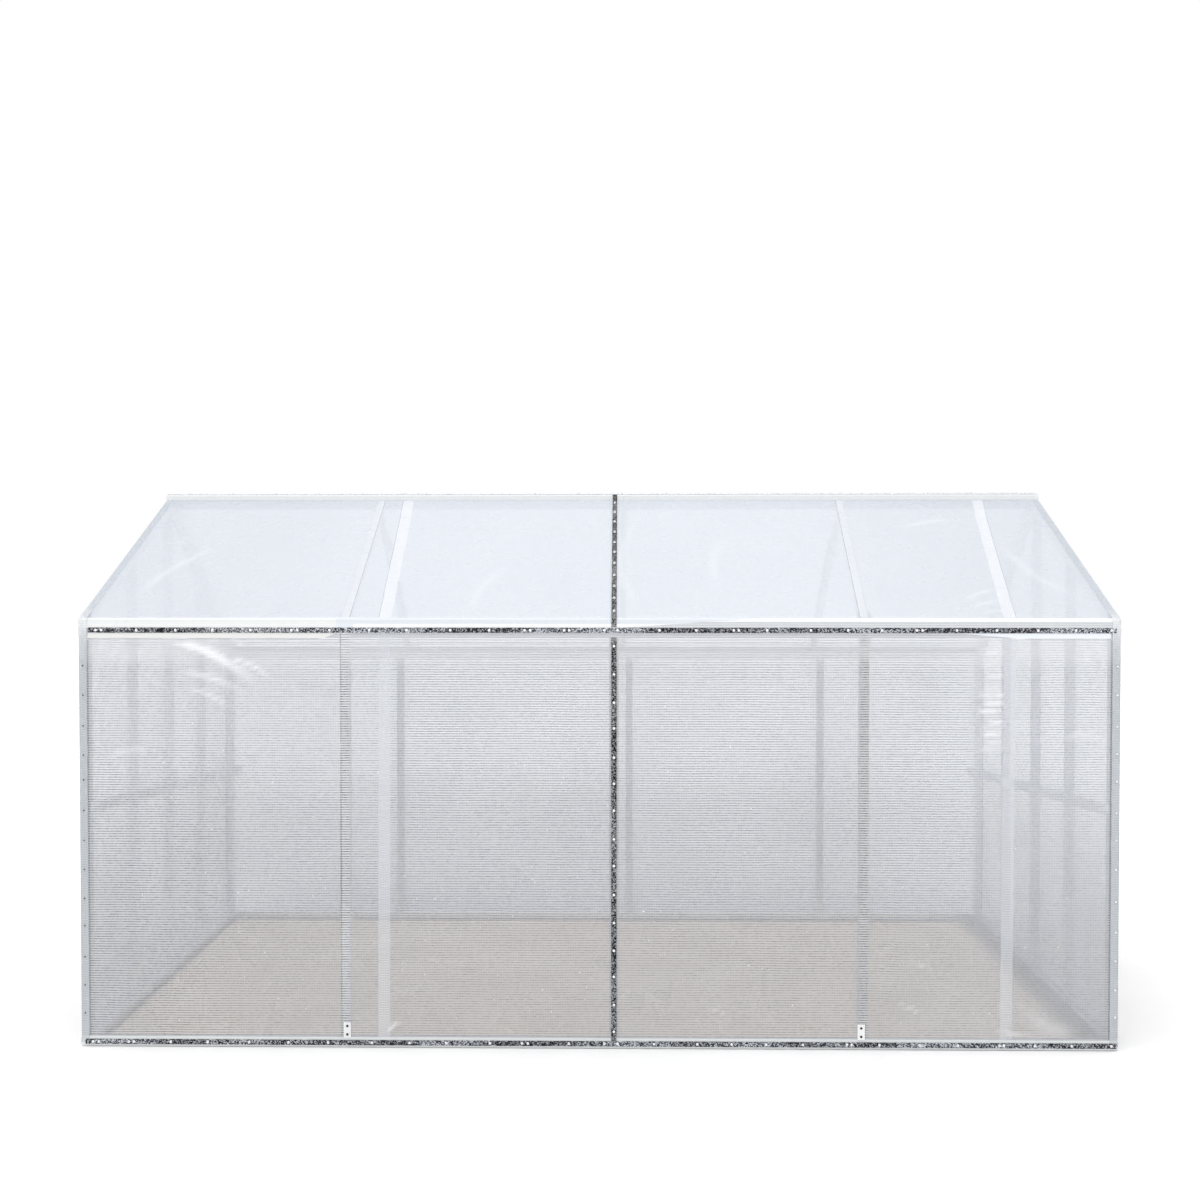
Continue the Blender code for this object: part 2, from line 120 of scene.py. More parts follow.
# ---- Node material helpers ----
class Nodes:
    """Short way to write a node tree: a call adds a node, or two, and returns what comes out of it."""

    def __init__(self, name):
        self.mat = bpy.data.materials.new(name)
        self.mat.use_nodes = True
        self.tree = self.mat.node_tree
        self.shader = self.tree.nodes["Principled BSDF"]
        self.spot = self.add("ShaderNodeTexCoord").outputs["Object"]

    def add(self, kind, **settings):
        node = self.tree.nodes.new(kind)
        for key, value in settings.items():
            setattr(node, key, value)
        return node

    def feed(self, socket, value):
        if isinstance(value, bpy.types.NodeSocket):
            self.tree.links.new(value, socket)
        elif socket.type == "RGBA":
            socket.default_value = (*value, 1.0)
        else:
            socket.default_value = value

    def make(self, kind, inputs, output=0, **settings):
        """Output of a new node, its inputs given by name or number."""
        node = self.add(kind, **settings)
        for key, value in inputs.items():
            self.feed(node.inputs[key], value)
        return node.outputs[output]

    def math(self, operation, a, b=0.0, c=0.0):
        return self.make("ShaderNodeMath", {0: a, 1: b, 2: c}, operation=operation)

    def times(self, a, b):
        return self.math("MULTIPLY", a, b)

    def most(self, a, b):
        return self.math("MAXIMUM", a, b)

    def distance(self, value, place):
        return self.math("ABSOLUTE", self.math("SUBTRACT", value, place))

    def ramp(self, value, from_low, from_high, to_low=0.0, to_high=1.0):
        inputs = {"Value": value, "From Min": from_low, "From Max": from_high, "To Min": to_low, "To Max": to_high}
        return self.make("ShaderNodeMapRange", inputs, interpolation_type="SMOOTHSTEP")

    def mix(self, factor, a, b):
        return self.make("ShaderNodeMix", {0: factor, 6: a, 7: b}, 2, data_type="RGBA")

    def split(self, value, kind="XYZ"):
        """The three parts of a vector, or of a colour."""
        node = self.add("ShaderNodeSeparate" + kind)
        self.feed(node.inputs[0], value)
        return node.outputs

    def noise(self, scale, detail=2.0, rough=0.5, spot=None):
        inputs = {"Vector": spot or self.spot, "Scale": scale, "Detail": detail, "Roughness": rough}
        return self.make("ShaderNodeTexNoise", inputs)

    def bump(self, height, strength, distance):
        return self.make("ShaderNodeBump", {"Height": height, "Strength": strength, "Distance": distance})

    def finish(self, **sockets):
        for key, value in sockets.items():
            self.feed(self.shader.inputs[key.replace("_", " ")], value)
        return self.mat


def shade(colour, factor):
    return tuple(c * factor for c in colour)


def front_changes(n, x, z, haze, film, tint, thread_tint):
    """Film and thread colours of the front wall: the scrim is stronger far left, and painted light makes it paler right
    and high up.

    On the two quarter studs the film is pressed flat, and a dark line of painted shade runs beside the left one.
    """
    strong = n.ramp(x, -1.00, -0.70, 1.0, 0.0)
    # Painted light: the film and its threads paler to the right and high up.
    pale = n.times(n.ramp(x, 0.55, 0.95), n.ramp(z, 0.20, 0.60, 0.40, 1.0))
    pale = n.most(pale, n.ramp(z, 0.55, 0.85, 0.0, 0.5))
    on_stud = n.most(*[n.ramp(n.distance(x, stud), 0.0088, 0.0104, 1.0, 0.0)
                       for stud in (STUD_X[0], STUD_X[2])])
    # Painted shade: a dark line on the film just left of the left quarter stud.
    stud_shade = n.ramp(n.distance(x, STUD_X[0] - 0.0100), 0.0010, 0.0022, 0.8, 0.0)
    stud_shade = n.times(stud_shade, n.ramp(haze, 0.0, 0.6, 0.45, 1.0))
    thread = thread_tint
    for film_share, thread_share, film_to, thread_to in (
            (strong, strong, shade(tint, 1.16), shade(thread_tint, 0.5)),
            (pale, pale, shade(tint, 1.10), shade(thread_tint, 1.5)),
            (n.times(on_stud, 0.75), on_stud, (0.95, 0.96, 0.97), shade(thread_tint, 0.30)),
            (stud_shade, stud_shade, (0.16, 0.19, 0.20), (0.04, 0.05, 0.05))):
        film = n.mix(film_share, film, film_to)
        thread = n.mix(thread_share, thread, thread_to)
    return film, thread


def film_material(name, clear, thread, tint, thread_tint, low_dark=0.0, zone=(0.28, 0.86), low_alpha=0.0,
                  across=0.32, fade=0.0, front=False):
    """Clear film with a square scrim laid in it; creases and rubbed patches are whiter, and so is painted light carried
    in the white_amount attribute.

    clear and thread are the opacities between and on the threads. Low down, below the zone of heights,
    low_dark darkens the film and low_alpha thickens it. across is the strength of the upright threads,
    and fade darkens both ends of the length.
    """
    n = Nodes(f"film_{name}_look")
    x, _, z = n.split(n.spot)
    wobble = n.noise(9.0)
    cloth = n.split(n.add("ShaderNodeUVMap", uv_map="cloth").outputs[0])
    lines = []
    for axis, edge in ((0, 0.00040), (1, 0.00072)):
        wave = n.math("PINGPONG", n.math("MULTIPLY_ADD", wobble, 0.0030, cloth[axis]), SCRIM_PITCH / 2)
        lines.append(n.ramp(wave, edge, edge + 0.0008, 1.0, 0.0))
    uneven = n.ramp(n.noise(150.0, 3.0, 0.6), 0.25, 0.75, 0.72, 1.0)
    scrim = n.times(n.most(n.times(lines[0], across), lines[1]), uneven)
    white_amount = n.add("ShaderNodeAttribute", attribute_name="white_amount").outputs["Fac"]
    haze = n.ramp(n.noise(3.2, 4.0, 0.6), 0.35, 0.75)
    scuff = n.ramp(n.noise(45.0, 5.0, 0.7), 0.62, 0.80)
    glint = n.ramp(n.noise(210.0), 0.70, 0.78)
    film_colour, thread_colour = n.mix(haze, tint, shade(tint, 0.94)), thread_tint
    if front:
        film_colour, thread_colour = front_changes(n, x, z, haze, film_colour, tint, thread_tint)
    colour = n.mix(scrim, film_colour, thread_colour)
    thicker = [(haze, 0.05), (scuff, 0.06), (white_amount, 0.42)]
    # Darker and thicker towards the bottom.
    if low_dark:
        low_share = n.ramp(z, *zone, 1.0, 0.0)
        colour = n.mix(n.times(low_share, low_dark), colour, shade(tint, 0.10))
        thicker.append((low_share, low_alpha))
    if fade:
        far = n.ramp(n.math("ABSOLUTE", x), 0.45, 1.05, 0.0, fade)
        colour = n.mix(far, colour, shade(tint, 0.5))
    colour = n.mix(n.times(glint, 0.8), colour, (0.95, 0.96, 0.98))
    colour = n.mix(n.times(white_amount, 0.85), colour, (0.93, 0.94, 0.96))
    alpha = n.math("MULTIPLY_ADD", scrim, thread - clear, clear)
    for mask, share in thicker:
        alpha = n.math("MULTIPLY_ADD", mask, share, alpha)
    alpha = n.math("MINIMUM", alpha, 1.0)
    rough = n.ramp(n.noise(12.0, 3.0), 0.3, 0.7, 0.22, 0.38)
    return n.finish(Base_Color=colour, Alpha=alpha, Roughness=rough, Normal=n.bump(scrim, 0.35, 0.0003))


def spangle_material(name, dark, light, cell=430.0, zones=0.5):
    """Mottled zinc strip: fine crystals of different greys, in darker and lighter stretches."""
    n = Nodes(name)
    crystal = n.split(n.make("ShaderNodeTexVoronoi", {"Vector": n.spot, "Scale": cell}, "Color"), "Color")
    fine = n.noise(cell * 2.2, 3.0, 0.7)
    tone = n.math("MULTIPLY_ADD", fine, 0.6, n.times(crystal[0], 0.5))
    stretch = n.ramp(n.noise(3.4, 4.0, 0.65), 0.40, 0.60, zones * 0.5, 0.0)
    tone = n.most(n.math("SUBTRACT", n.ramp(tone, 0.36, 0.90), stretch), 0.0)
    rust = n.ramp(n.noise(75.0, 4.0, 0.6), 0.62, 0.75)
    colour = n.mix(n.times(rust, 0.30), n.mix(tone, dark, light), (0.20, 0.15, 0.10))
    rough = n.ramp(crystal[1], 0.0, 1.0, 0.34, 0.62)
    return n.finish(Base_Color=colour, Roughness=rough, Normal=n.bump(tone, 0.25, 0.0002), Metallic=0.85)


def tube_material(name, tone):
    """Drawn tube: satin, with faint lengthwise streaks, dull patches and small marks."""
    n = Nodes(name)
    stretched = n.make("ShaderNodeMapping", {"Vector": n.spot, "Scale": (6.0, 60.0, 6.0)})
    streak = n.noise(9.0, 3.0, 0.55, stretched)
    patch = n.ramp(n.noise(7.0, 4.0, 0.6), 0.35, 0.70)
    mark = n.ramp(n.noise(160.0, 4.0, 0.7), 0.66, 0.74)
    colour = n.mix(patch, tone, shade(tone, 0.86))
    colour = n.mix(n.times(streak, 0.22), colour, (0.86, 0.87, 0.88))
    colour = n.mix(n.times(mark, 0.30), colour, (0.30, 0.30, 0.30))
    rough = n.ramp(streak, 0.3, 0.7, 0.34, 0.52)
    return n.finish(Base_Color=colour, Roughness=rough, Normal=n.bump(streak, 0.10, 0.0003), Metallic=0.55)


def screw_material(name, tone, metal=0.9):
    n = Nodes(name)
    scratch = n.noise(900.0, 3.0, 0.6)
    colour = n.mix(n.ramp(scratch, 0.45, 0.75), tone, shade(tone, 0.72))
    rough = n.ramp(scratch, 0.3, 0.7, 0.18, 0.34)
    return n.finish(Base_Color=colour, Roughness=rough, Metallic=metal)


def floor_material(name):
    """Pale floor, with the warm bare ground that the frame stands round and painted shade along the sills."""
    n = Nodes(name)
    x, y, _ = n.split(n.spot)
    inside = n.times(*[n.ramp(n.math("ABSOLUTE", place), edge - 0.030, edge - 0.010, 1.0, 0.0)
                       for place, edge in ((x, END_X), (y, REAR_Y))])
    broad = n.ramp(n.noise(4.5, 5.0, 0.6), 0.35, 0.65)
    grit = n.ramp(n.noise(60.0, 4.0, 0.7), 0.35, 0.65)
    ground = n.mix(broad, (0.78, 0.66, 0.53), (0.88, 0.76, 0.63))
    ground = n.mix(n.times(grit, 0.10), ground, (0.50, 0.45, 0.40))
    # Painted shade on the ground inside the sills: wide beside the right sill, narrow beside the left one and the rear.
    right_edge = n.ramp(x, END_X - 0.110, END_X - 0.035)
    left_edge = n.ramp(n.times(x, -1.0), END_X - 0.045, END_X - 0.026)
    sill_shade = n.most(n.ramp(y, REAR_Y - 0.055, REAR_Y - 0.028), n.most(right_edge, left_edge))
    ground = n.mix(n.times(sill_shade, 0.75), ground, (0.16, 0.14, 0.13))
    pale = n.mix(broad, (0.96, 0.957, 0.955), (0.98, 0.977, 0.975))
    return n.finish(Base_Color=n.mix(inside, pale, ground), Roughness=0.85)


FRONT_FILM = film_material("front", 0.36, 0.87, (0.79, 0.81, 0.85), (0.165, 0.18, 0.21), 0.04,
                           front=True)
REAR_FILM = film_material("rear", 0.45, 0.66, (0.72, 0.75, 0.80), (0.42, 0.45, 0.50),
                          0.42, (0.30, 0.55), 0.06)
# The end walls are one film: the right one's paler tint and paler threads are painted light.
LEFT_FILM = film_material("left", 0.45, 0.80, (0.88, 0.91, 0.98), (0.18, 0.20, 0.25),
                          0.66, (0.30, 0.72), 0.12)
RIGHT_FILM = film_material("right", 0.50, 0.70, (0.98, 0.99, 1.0), (0.58, 0.62, 0.70),
                           0.66, (0.30, 0.70), 0.12)
ROOF_FILM = film_material("roof", 0.70, 0.82, (0.716, 0.753, 0.82), (0.636, 0.683, 0.76),
                          across=0.8, fade=0.14)
LID_FILM = film_material("lid", 0.46, 0.60, (0.66, 0.70, 0.78), (0.54, 0.59, 0.67))
SEAM_FILM = film_material("seam", 0.22, 0.36, (0.74, 0.77, 0.83), (0.66, 0.69, 0.74))
WRAP_FILM = film_material("wrap", 0.34, 0.50, (0.74, 0.78, 0.82), (0.60, 0.64, 0.68))
SHADE_LINE_FILM = film_material("shade_line", 0.32, 0.46, (0.56, 0.59, 0.64), (0.50, 0.53, 0.58))
EDGE_SHADE_FILM = film_material("edge", 0.40, 0.90, (0.40, 0.43, 0.45), (0.10, 0.11, 0.12))
ROOF_SEAM_FILM = film_material("roof_seam", 0.50, 0.60, (0.90, 0.93, 0.97), (0.85, 0.88, 0.93))
HEM_FILM = film_material("hem", 0.82, 0.88, (0.87, 0.89, 0.89), (0.83, 0.85, 0.85))
ROOF_LAP_FILM = film_material("roof_lap", 0.84, 0.88, (0.78, 0.82, 0.88), (0.73, 0.77, 0.84))
GREY_LAP_FILM = film_material("grey_lap", 0.80, 0.90, (0.74, 0.77, 0.79), (0.46, 0.48, 0.50))
CREAM_FILM = film_material("cream", 0.74, 0.86, (0.82, 0.82, 0.79), (0.70, 0.70, 0.68))
SILL_HEM_FILM = film_material("sill_hem", 0.72, 0.80, (0.84, 0.87, 0.87), (0.78, 0.81, 0.82))
BATTEN_LOOK = spangle_material("batten_zinc", (0.012, 0.013, 0.016), (0.77, 0.80, 0.86), zones=0.68)
CENTRE_BATTEN_LOOK = spangle_material("centre_batten_zinc", (0.010, 0.010, 0.012), (0.52, 0.52, 0.53), zones=0.55)
PALE_BATTEN_LOOK = spangle_material("batten_zinc_pale", (0.34, 0.35, 0.37), (0.84, 0.86, 0.89), zones=0.40)
# One tube finish in three tones: the two lighter copies are painted light, the darkest painted shade.
SHADED_TUBE_LOOK = tube_material("tube_satin", (0.56, 0.57, 0.58))
MID_LIT_TUBE_LOOK = tube_material("tube_satin_painted_mid_light", (0.80, 0.81, 0.84))
LIT_TUBE_LOOK = tube_material("tube_satin_painted_light", (0.95, 0.96, 0.98))
HINGE_LOOK = spangle_material("hinge_zinc", (0.62, 0.64, 0.66), (0.92, 0.94, 0.95), 260.0, 0.15)
STRAP_LOOK = spangle_material("strap_zinc", (0.74, 0.76, 0.78), (0.95, 0.96, 0.98), 260.0, 0.2)
GREY_STRAP_LOOK = spangle_material("grey_strap_zinc", (0.44, 0.46, 0.48), (0.66, 0.68, 0.71), 260.0, 0.2)
SCREW_LOOK = screw_material("screw_bright", (0.97, 0.97, 0.98))
DARK_SCREW_LOOK = screw_material("screw_dark", (0.06, 0.05, 0.05), 0.4)
WASHER_SHADE_LOOK = screw_material("washer_dark_painted_shade", (0.015, 0.014, 0.013), 0.0)
PLATE_LOOK = tube_material("foot_plate_pale", (0.86, 0.87, 0.87))


# ---- Mesh helpers ----
def new_object(name, data, mat=None):
    if mat:
        data.materials.append(mat)
    obj = bpy.data.objects.new(name, data)
    bpy.context.scene.collection.objects.link(obj)
    return obj


def mesh_object(name, verts, faces, mat):
    mesh = bpy.data.meshes.new(name)
    mesh.from_pydata([tuple(v) for v in verts], [], faces)
    return new_object(name, mesh, mat)


def film_sheet(name, points, a, b, white_amount, mat, body="frame"):
    """Film through a (rows, columns, 3) array of points; a and b are its flat places, white_amount how much whiter it
    is, painted light included.
    """
    rows, columns = a.shape
    corner = np.arange(rows * columns).reshape(rows, columns)
    faces = np.stack([corner[:-1, :-1], corner[:-1, 1:], corner[1:, 1:], corner[1:, :-1]], -1)
    sheet = mesh_object(name, points.reshape(-1, 3), faces.reshape(-1, 4).tolist(), mat)
    mesh = sheet.data
    mesh.shade_smooth()
    index = np.zeros(len(mesh.loops), int)
    mesh.loops.foreach_get("vertex_index", index)
    cloth = np.stack([a, b], -1).reshape(-1, 2)[index]
    mesh.uv_layers.new(name="cloth").data.foreach_set("uv", cloth.ravel())
    mesh.attributes.new("white_amount", "FLOAT", "POINT").data.foreach_set("value", white_amount.ravel())
    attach(sheet, body)
    return sheet


def smooth_step(value, edge0, edge1):
    t = np.clip((value - edge0) / (edge1 - edge0), 0.0, 1.0)
    return t * t * (3 - 2 * t)


def waves(a, b, seed, count=7, longest=0.9, shortest=0.16):
    """Gentle sum of sine waves in random directions, about -1 to 1."""
    rng = random.Random(seed)
    total = np.zeros_like(a)
    for i in range(count):
        length = longest * (shortest / longest) ** (i / (count - 1))
        turn = rng.uniform(0, pi)
        phase = rng.uniform(0, 2 * pi)
        total += np.sin((a * cos(turn) + b * sin(turn)) * 2 * pi / length + phase) / count ** 0.5
    return total * 0.8


def crumple(a, b, seed, size):
    """Sharp-edged random facets, 0 to 1, from folded ramps."""
    rng = random.Random(seed)
    total = np.zeros_like(a)
    for i in range(6):
        turn = rng.uniform(0, pi)
        length = size * rng.uniform(0.5, 1.4)
        shift = rng.uniform(0, 1)
        saw = (a * cos(turn) + b * sin(turn)) / length + shift
        total += np.abs(saw - np.round(saw)) * 2 / 6
    return total


def crease_field(a, b, creases):
    """Height in metres and whiteness of a set of straight folds given as (a0, b0, a1, b1, height, width)."""
    height = np.zeros_like(a)
    white = np.zeros_like(a)
    for a0, b0, a1, b1, tall, width in creases:
        da, db = a1 - a0, b1 - b0
        length = (da * da + db * db) ** 0.5
        along = ((a - a0) * da + (b - b0) * db) / length ** 2
        bow = 0.08 * length * np.sin(pi * np.clip(along, 0, 1))
        across = ((b - b0) * da - (a - a0) * db) / length - bow
        taper = smooth_step(along, -0.05, 0.3) * smooth_step(-along, -1.05, -0.6)
        ridge = np.exp(-(across / width) ** 2) * taper
        valley = np.exp(-((across + 1.8 * width) / (1.3 * width)) ** 2) * taper
        height += tall * (ridge - 0.7 * valley)
        white = np.maximum(white, ridge * min(1.0, tall / 0.004))
    return height, white


def changed(creases, shift=0.0, tall=1.0, wide=1.0):
    """The same folds moved along b, with their heights and widths scaled."""
    return [(a0, b0 + shift, a1, b1 + shift, height * tall, width * wide)
            for a0, b0, a1, b1, height, width in creases]


# ---- Front wall and fixed roof: one film over the eave ----
class Profile:
    """Rounded (y, z) path off the fixed tubes, read by its length v."""

    def __init__(self, corners, radius=0.004):
        points = [Vector(corners[0])]
        for before, here, after in zip(corners, corners[1:], corners[2:]):
            a = (Vector(before) - Vector(here)).normalized()
            b = (Vector(after) - Vector(here)).normalized()
            start = Vector(here) + a * radius
            end = Vector(here) + b * radius
            for i in range(7):
                t = i / 6
                points.append(start * (1 - t) ** 2 + Vector(here) * 2 * t * (1 - t) + end * t * t)
        points.append(Vector(corners[-1]))
        self.y = np.array([p.x for p in points])
        self.z = np.array([p.y for p in points])
        steps = np.hypot(np.diff(self.y), np.diff(self.z))
        self.v = np.concatenate([[0.0], np.cumsum(steps)])
        dy = np.gradient(self.y, self.v)
        dz = np.gradient(self.z, self.v)
        size = np.hypot(dy, dz)
        self.ny = -dz / size
        self.nz = dy / size
        self.length = self.v[-1]

    def at(self, v, off):
        """Points (y, z) at lengths v and distances off outward."""
        ny = np.interp(v, self.v, self.ny)
        nz = np.interp(v, self.v, self.nz)
        return np.interp(v, self.v, self.y) + ny * off, np.interp(v, self.v, self.z) + nz * off


COVER = Profile([(FRONT_Y, FOOT_Z), (FRONT_Y, EAVE_Z), (RIDGE_FRONT_Y, CREASE_Z),
                 (RIDGE_FRONT_Y, RIDGE_Z), (RIDGE_REAR_Y - 0.001, RIDGE_Z)])
EAVE_V = EAVE_Z - FOOT_Z
ROOF_RUN = (RIDGE_FRONT_Y - FRONT_Y) / cos(FRONT_SLOPE)
CREASE_V = EAVE_V + ROOF_RUN


def rib_lines(v):
    """x of each upright or rafter under the film, as the length v runs up the wall and roof."""
    up = np.clip((v - EAVE_V) / ROOF_RUN, 0, 1)
    inner = [foot + (top - foot) * up for foot, top in zip(STUD_X, RAFTER_TOP_X)]
    edge = np.full_like(v, END_X - TUBE / 2)
    return [-edge, *inner, edge]


def wall_creases():
    """Pull lines at the top left, small ones at the right, and puckers beside the right seam."""
    rng = random.Random(11)
    folds = [(-1.10, 0.978, -0.79, 0.858, 0.0066, 0.012), (-0.99, 0.972, -0.80, 0.938, 0.0036, 0.007),
             (-0.88, 0.922, -0.76, 0.868, 0.0026, 0.006), (-0.99, 0.885, -0.83, 0.838, 0.0022, 0.007),
             (-0.97, 0.850, -0.86, 0.800, 0.0018, 0.006), (-0.80, 0.972, -0.66, 0.945, 0.0022, 0.006),
             (-0.50, 0.030, -0.46, 0.062, 0.0026, 0.005), (0.70, 0.110, 0.76, 0.085, 0.0012, 0.004),
             (0.72, 0.205, 0.79, 0.190, 0.0010, 0.004), (1.13, 0.040, 0.99, 0.095, 0.0009, 0.018),
             (1.10, 0.035, 0.93, 0.050, 0.0026, 0.007), (-1.15, 0.690, -1.05, 0.700, 0.0014, 0.006),
             (0.25, 0.10, 0.32, 0.065, 0.0009, 0.004), (1.08, 0.735, 1.19, 0.728, 0.0014, 0.006)]
    height = 0.955
    while height > 0.70:
        start = rng.uniform(0.885, 0.910)
        end = rng.uniform(0.945, 0.962)
        tall = rng.choice((0.0012, 0.0018, 0.0030))
        folds.append((start, height, end, height + rng.uniform(-0.006, 0.006), tall, 0.0045))
        height -= rng.uniform(0.013, 0.030)
    return changed(folds, -FOOT_Z)


def roof_creases():
    """Soft folds up the roof near the right seam, the ends and the quarter rafters."""
    folds = [(0.80, 0.52, 0.97, 0.57, 0.0018, 0.010), (0.88, 0.10, 0.98, 0.16, 0.0022, 0.006),
             (0.89, 0.06, 0.98, 0.10, 0.0022, 0.006), (0.90, 0.02, 0.98, 0.05, 0.0018, 0.006),
             (-1.12, 0.12, -0.98, 0.42, 0.0018, 0.012), (0.30, 0.15, 0.34, 0.50, 0.0012, 0.012),
             (0.10, 0.03, 0.11, 0.60, 0.0014, 0.010), (-0.30, 0.02, -0.22, 0.30, 0.0012, 0.012),
             (1.16, 0.10, 1.05, 0.45, 0.0016, 0.012)]
    return changed(folds, EAVE_V, 0.4)


COVER_CREASES = wall_creases() + roof_creases()


def cover_surface(x, v, off=FILM_OFF):
    """Points and whiteness of the front film at cloth places (x, v); the whiteness includes a band of painted light
    below the eave.
    """
    free = np.ones_like(x)
    for line in rib_lines(v):
        free *= smooth_step(np.abs(x - line), 0.014, 0.10)
    for level, reach in ((0.0, 0.030), (EAVE_V - TUBE, 0.030), (CREASE_V, 0.020)):
        free *= smooth_step(np.abs(v - level), reach, reach + 0.09)
    wall = v < EAVE_V
    sag = np.where(wall, 0.0015, -0.0040) + waves(x, v, 5) * np.where(wall, 0.0024, 0.0030)
    tall, white = crease_field(x, v, COVER_CREASES)
    near_rail = smooth_step(np.abs(v - EAVE_V + TUBE), 0.026, 0.040) * smooth_step(v, 0.026, 0.040)
    lift = off + sag * free + tall * near_rail
    y, z = COVER.at(v, lift)
    # Painted light: the film is made whiter in a soft band just below the eave.
    painted_light_band = smooth_step(v, EAVE_V - 0.125, EAVE_V - 0.075) * smooth_step(EAVE_V - 0.010 - v, 0.0, 0.010)
    return np.stack([x, y, z], -1), np.maximum(white * near_rail, EAVE_PAINTED_LIGHT * painted_light_band)


def cover_rows():
    """Lengths v with extra rows where the path bends."""
    wall = np.linspace(0, EAVE_V - 0.006, int(EAVE_V / FILM_STEP))
    bend = np.linspace(EAVE_V - 0.005, EAVE_V + 0.005, 9)
    roof = np.linspace(EAVE_V + 0.007, CREASE_V - 0.007, int(ROOF_RUN / FILM_STEP))
    top = np.linspace(CREASE_V - 0.005, COVER.length, 26)
    return np.concatenate([wall, bend, roof, top])


def roof_half(sheet, mat):
    """Second material on the part of a front sheet that lies above the eave bend."""
    sheet.data.materials.append(mat)
    for poly in sheet.data.polygons:
        if poly.center.z > EAVE_Z - 0.0005:
            poly.material_index = 1


def build_cover():
    x = np.linspace(-END_X, END_X, int(2 * END_X / FILM_STEP))
    grid_x, grid_v = np.meshgrid(x, cover_rows())
    points, white = cover_surface(grid_x, grid_v)
    cover = film_sheet("front_cover", points, grid_x, grid_v, white, FRONT_FILM)
    roof_half(cover, ROOF_FILM)
    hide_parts("film_front", "film_roof")
    return cover


def cover_strip(name, x_low, x_high, v_low, v_high, off, mat, white_amount=0.0, columns=4):
    """Second layer of film on the front cover; an edge is one x, or (lengths, x at each) for a slant."""
    rows = np.linspace(v_low, v_high, max(2, int((v_high - v_low) / FILM_STEP)))
    rows = np.union1d(rows, [v for v in cover_rows() if v_low < v < v_high])
    left, right = [np.interp(rows, *edge) if isinstance(edge, tuple) else np.full_like(rows, edge)
                   for edge in (x_low, x_high)]
    grid_x = left[:, None] + (right - left)[:, None] * np.linspace(0, 1, columns)[None, :]
    grid_v = np.repeat(rows[:, None], columns, 1)
    points, white = cover_surface(grid_x, grid_v, off)
    return film_sheet(name, points, grid_x, grid_v, np.maximum(white, white_amount), mat)


def slanted_strip(name, stops, places, x_low, x_high, v_low, v_high, *looks, **settings):
    """Strip whose middle passes the places at the stops, from x_low to x_high beside it."""
    return cover_strip(name, (stops, [p + x_low for p in places]), (stops, [p + x_high for p in places]),
                       v_low, v_high, LAP_OFF, *looks, **settings)


def build_seams():
    """Welded laps of the film, up the wall and on up the roof, with thin lines of painted shade beside the rafters and
    the roof seams.
    """
    seams = []
    stops = (0.0, EAVE_V, CREASE_V)
    roof = (EAVE_V + 0.004, CREASE_V - 0.002)
    for side, places in (("left", (-0.502, -0.497, -0.537)), ("right", (0.958, 0.963, 1.048))):
        seam = slanted_strip("seam_" + side, stops, places, -0.014, 0.014, 0.001, roof[1],
                             SEAM_FILM, 0.25, columns=6)
        roof_half(seam, ROOF_SEAM_FILM)
        seams.append(seam)
    for side, i, toward in (("left", 0, 1), ("right", 2, -1)):
        places = (STUD_X[i] + toward * 0.001, RAFTER_TOP_X[i] + toward * 0.001)
        # The rafter lines are painted shade: thin dark strips beside each quarter rafter.
        for name, near, far, mat, white_amount in (("rafter_lap_", -0.0085, 0.0085, ROOF_SEAM_FILM, 0.15),
                                           ("rafter_shade_line_", 0.0085, 0.0107, SHADE_LINE_FILM, 0.0)):
            edges = sorted((toward * near, toward * far))
            seams.append(slanted_strip(name + side, roof, places, *edges, *roof, mat, white_amount))
    # The seam lines are painted shade: thin dark strips beside each roof seam.
    for side, places, edge in (("left", (-0.497, -0.537), -0.0155), ("right", (0.963, 1.048), 0.0155)):
        seams.append(slanted_strip("seam_shade_line_" + side, roof, places, edge - 0.0008, edge + 0.0008, *roof,
                                   SHADE_LINE_FILM))
    return seams


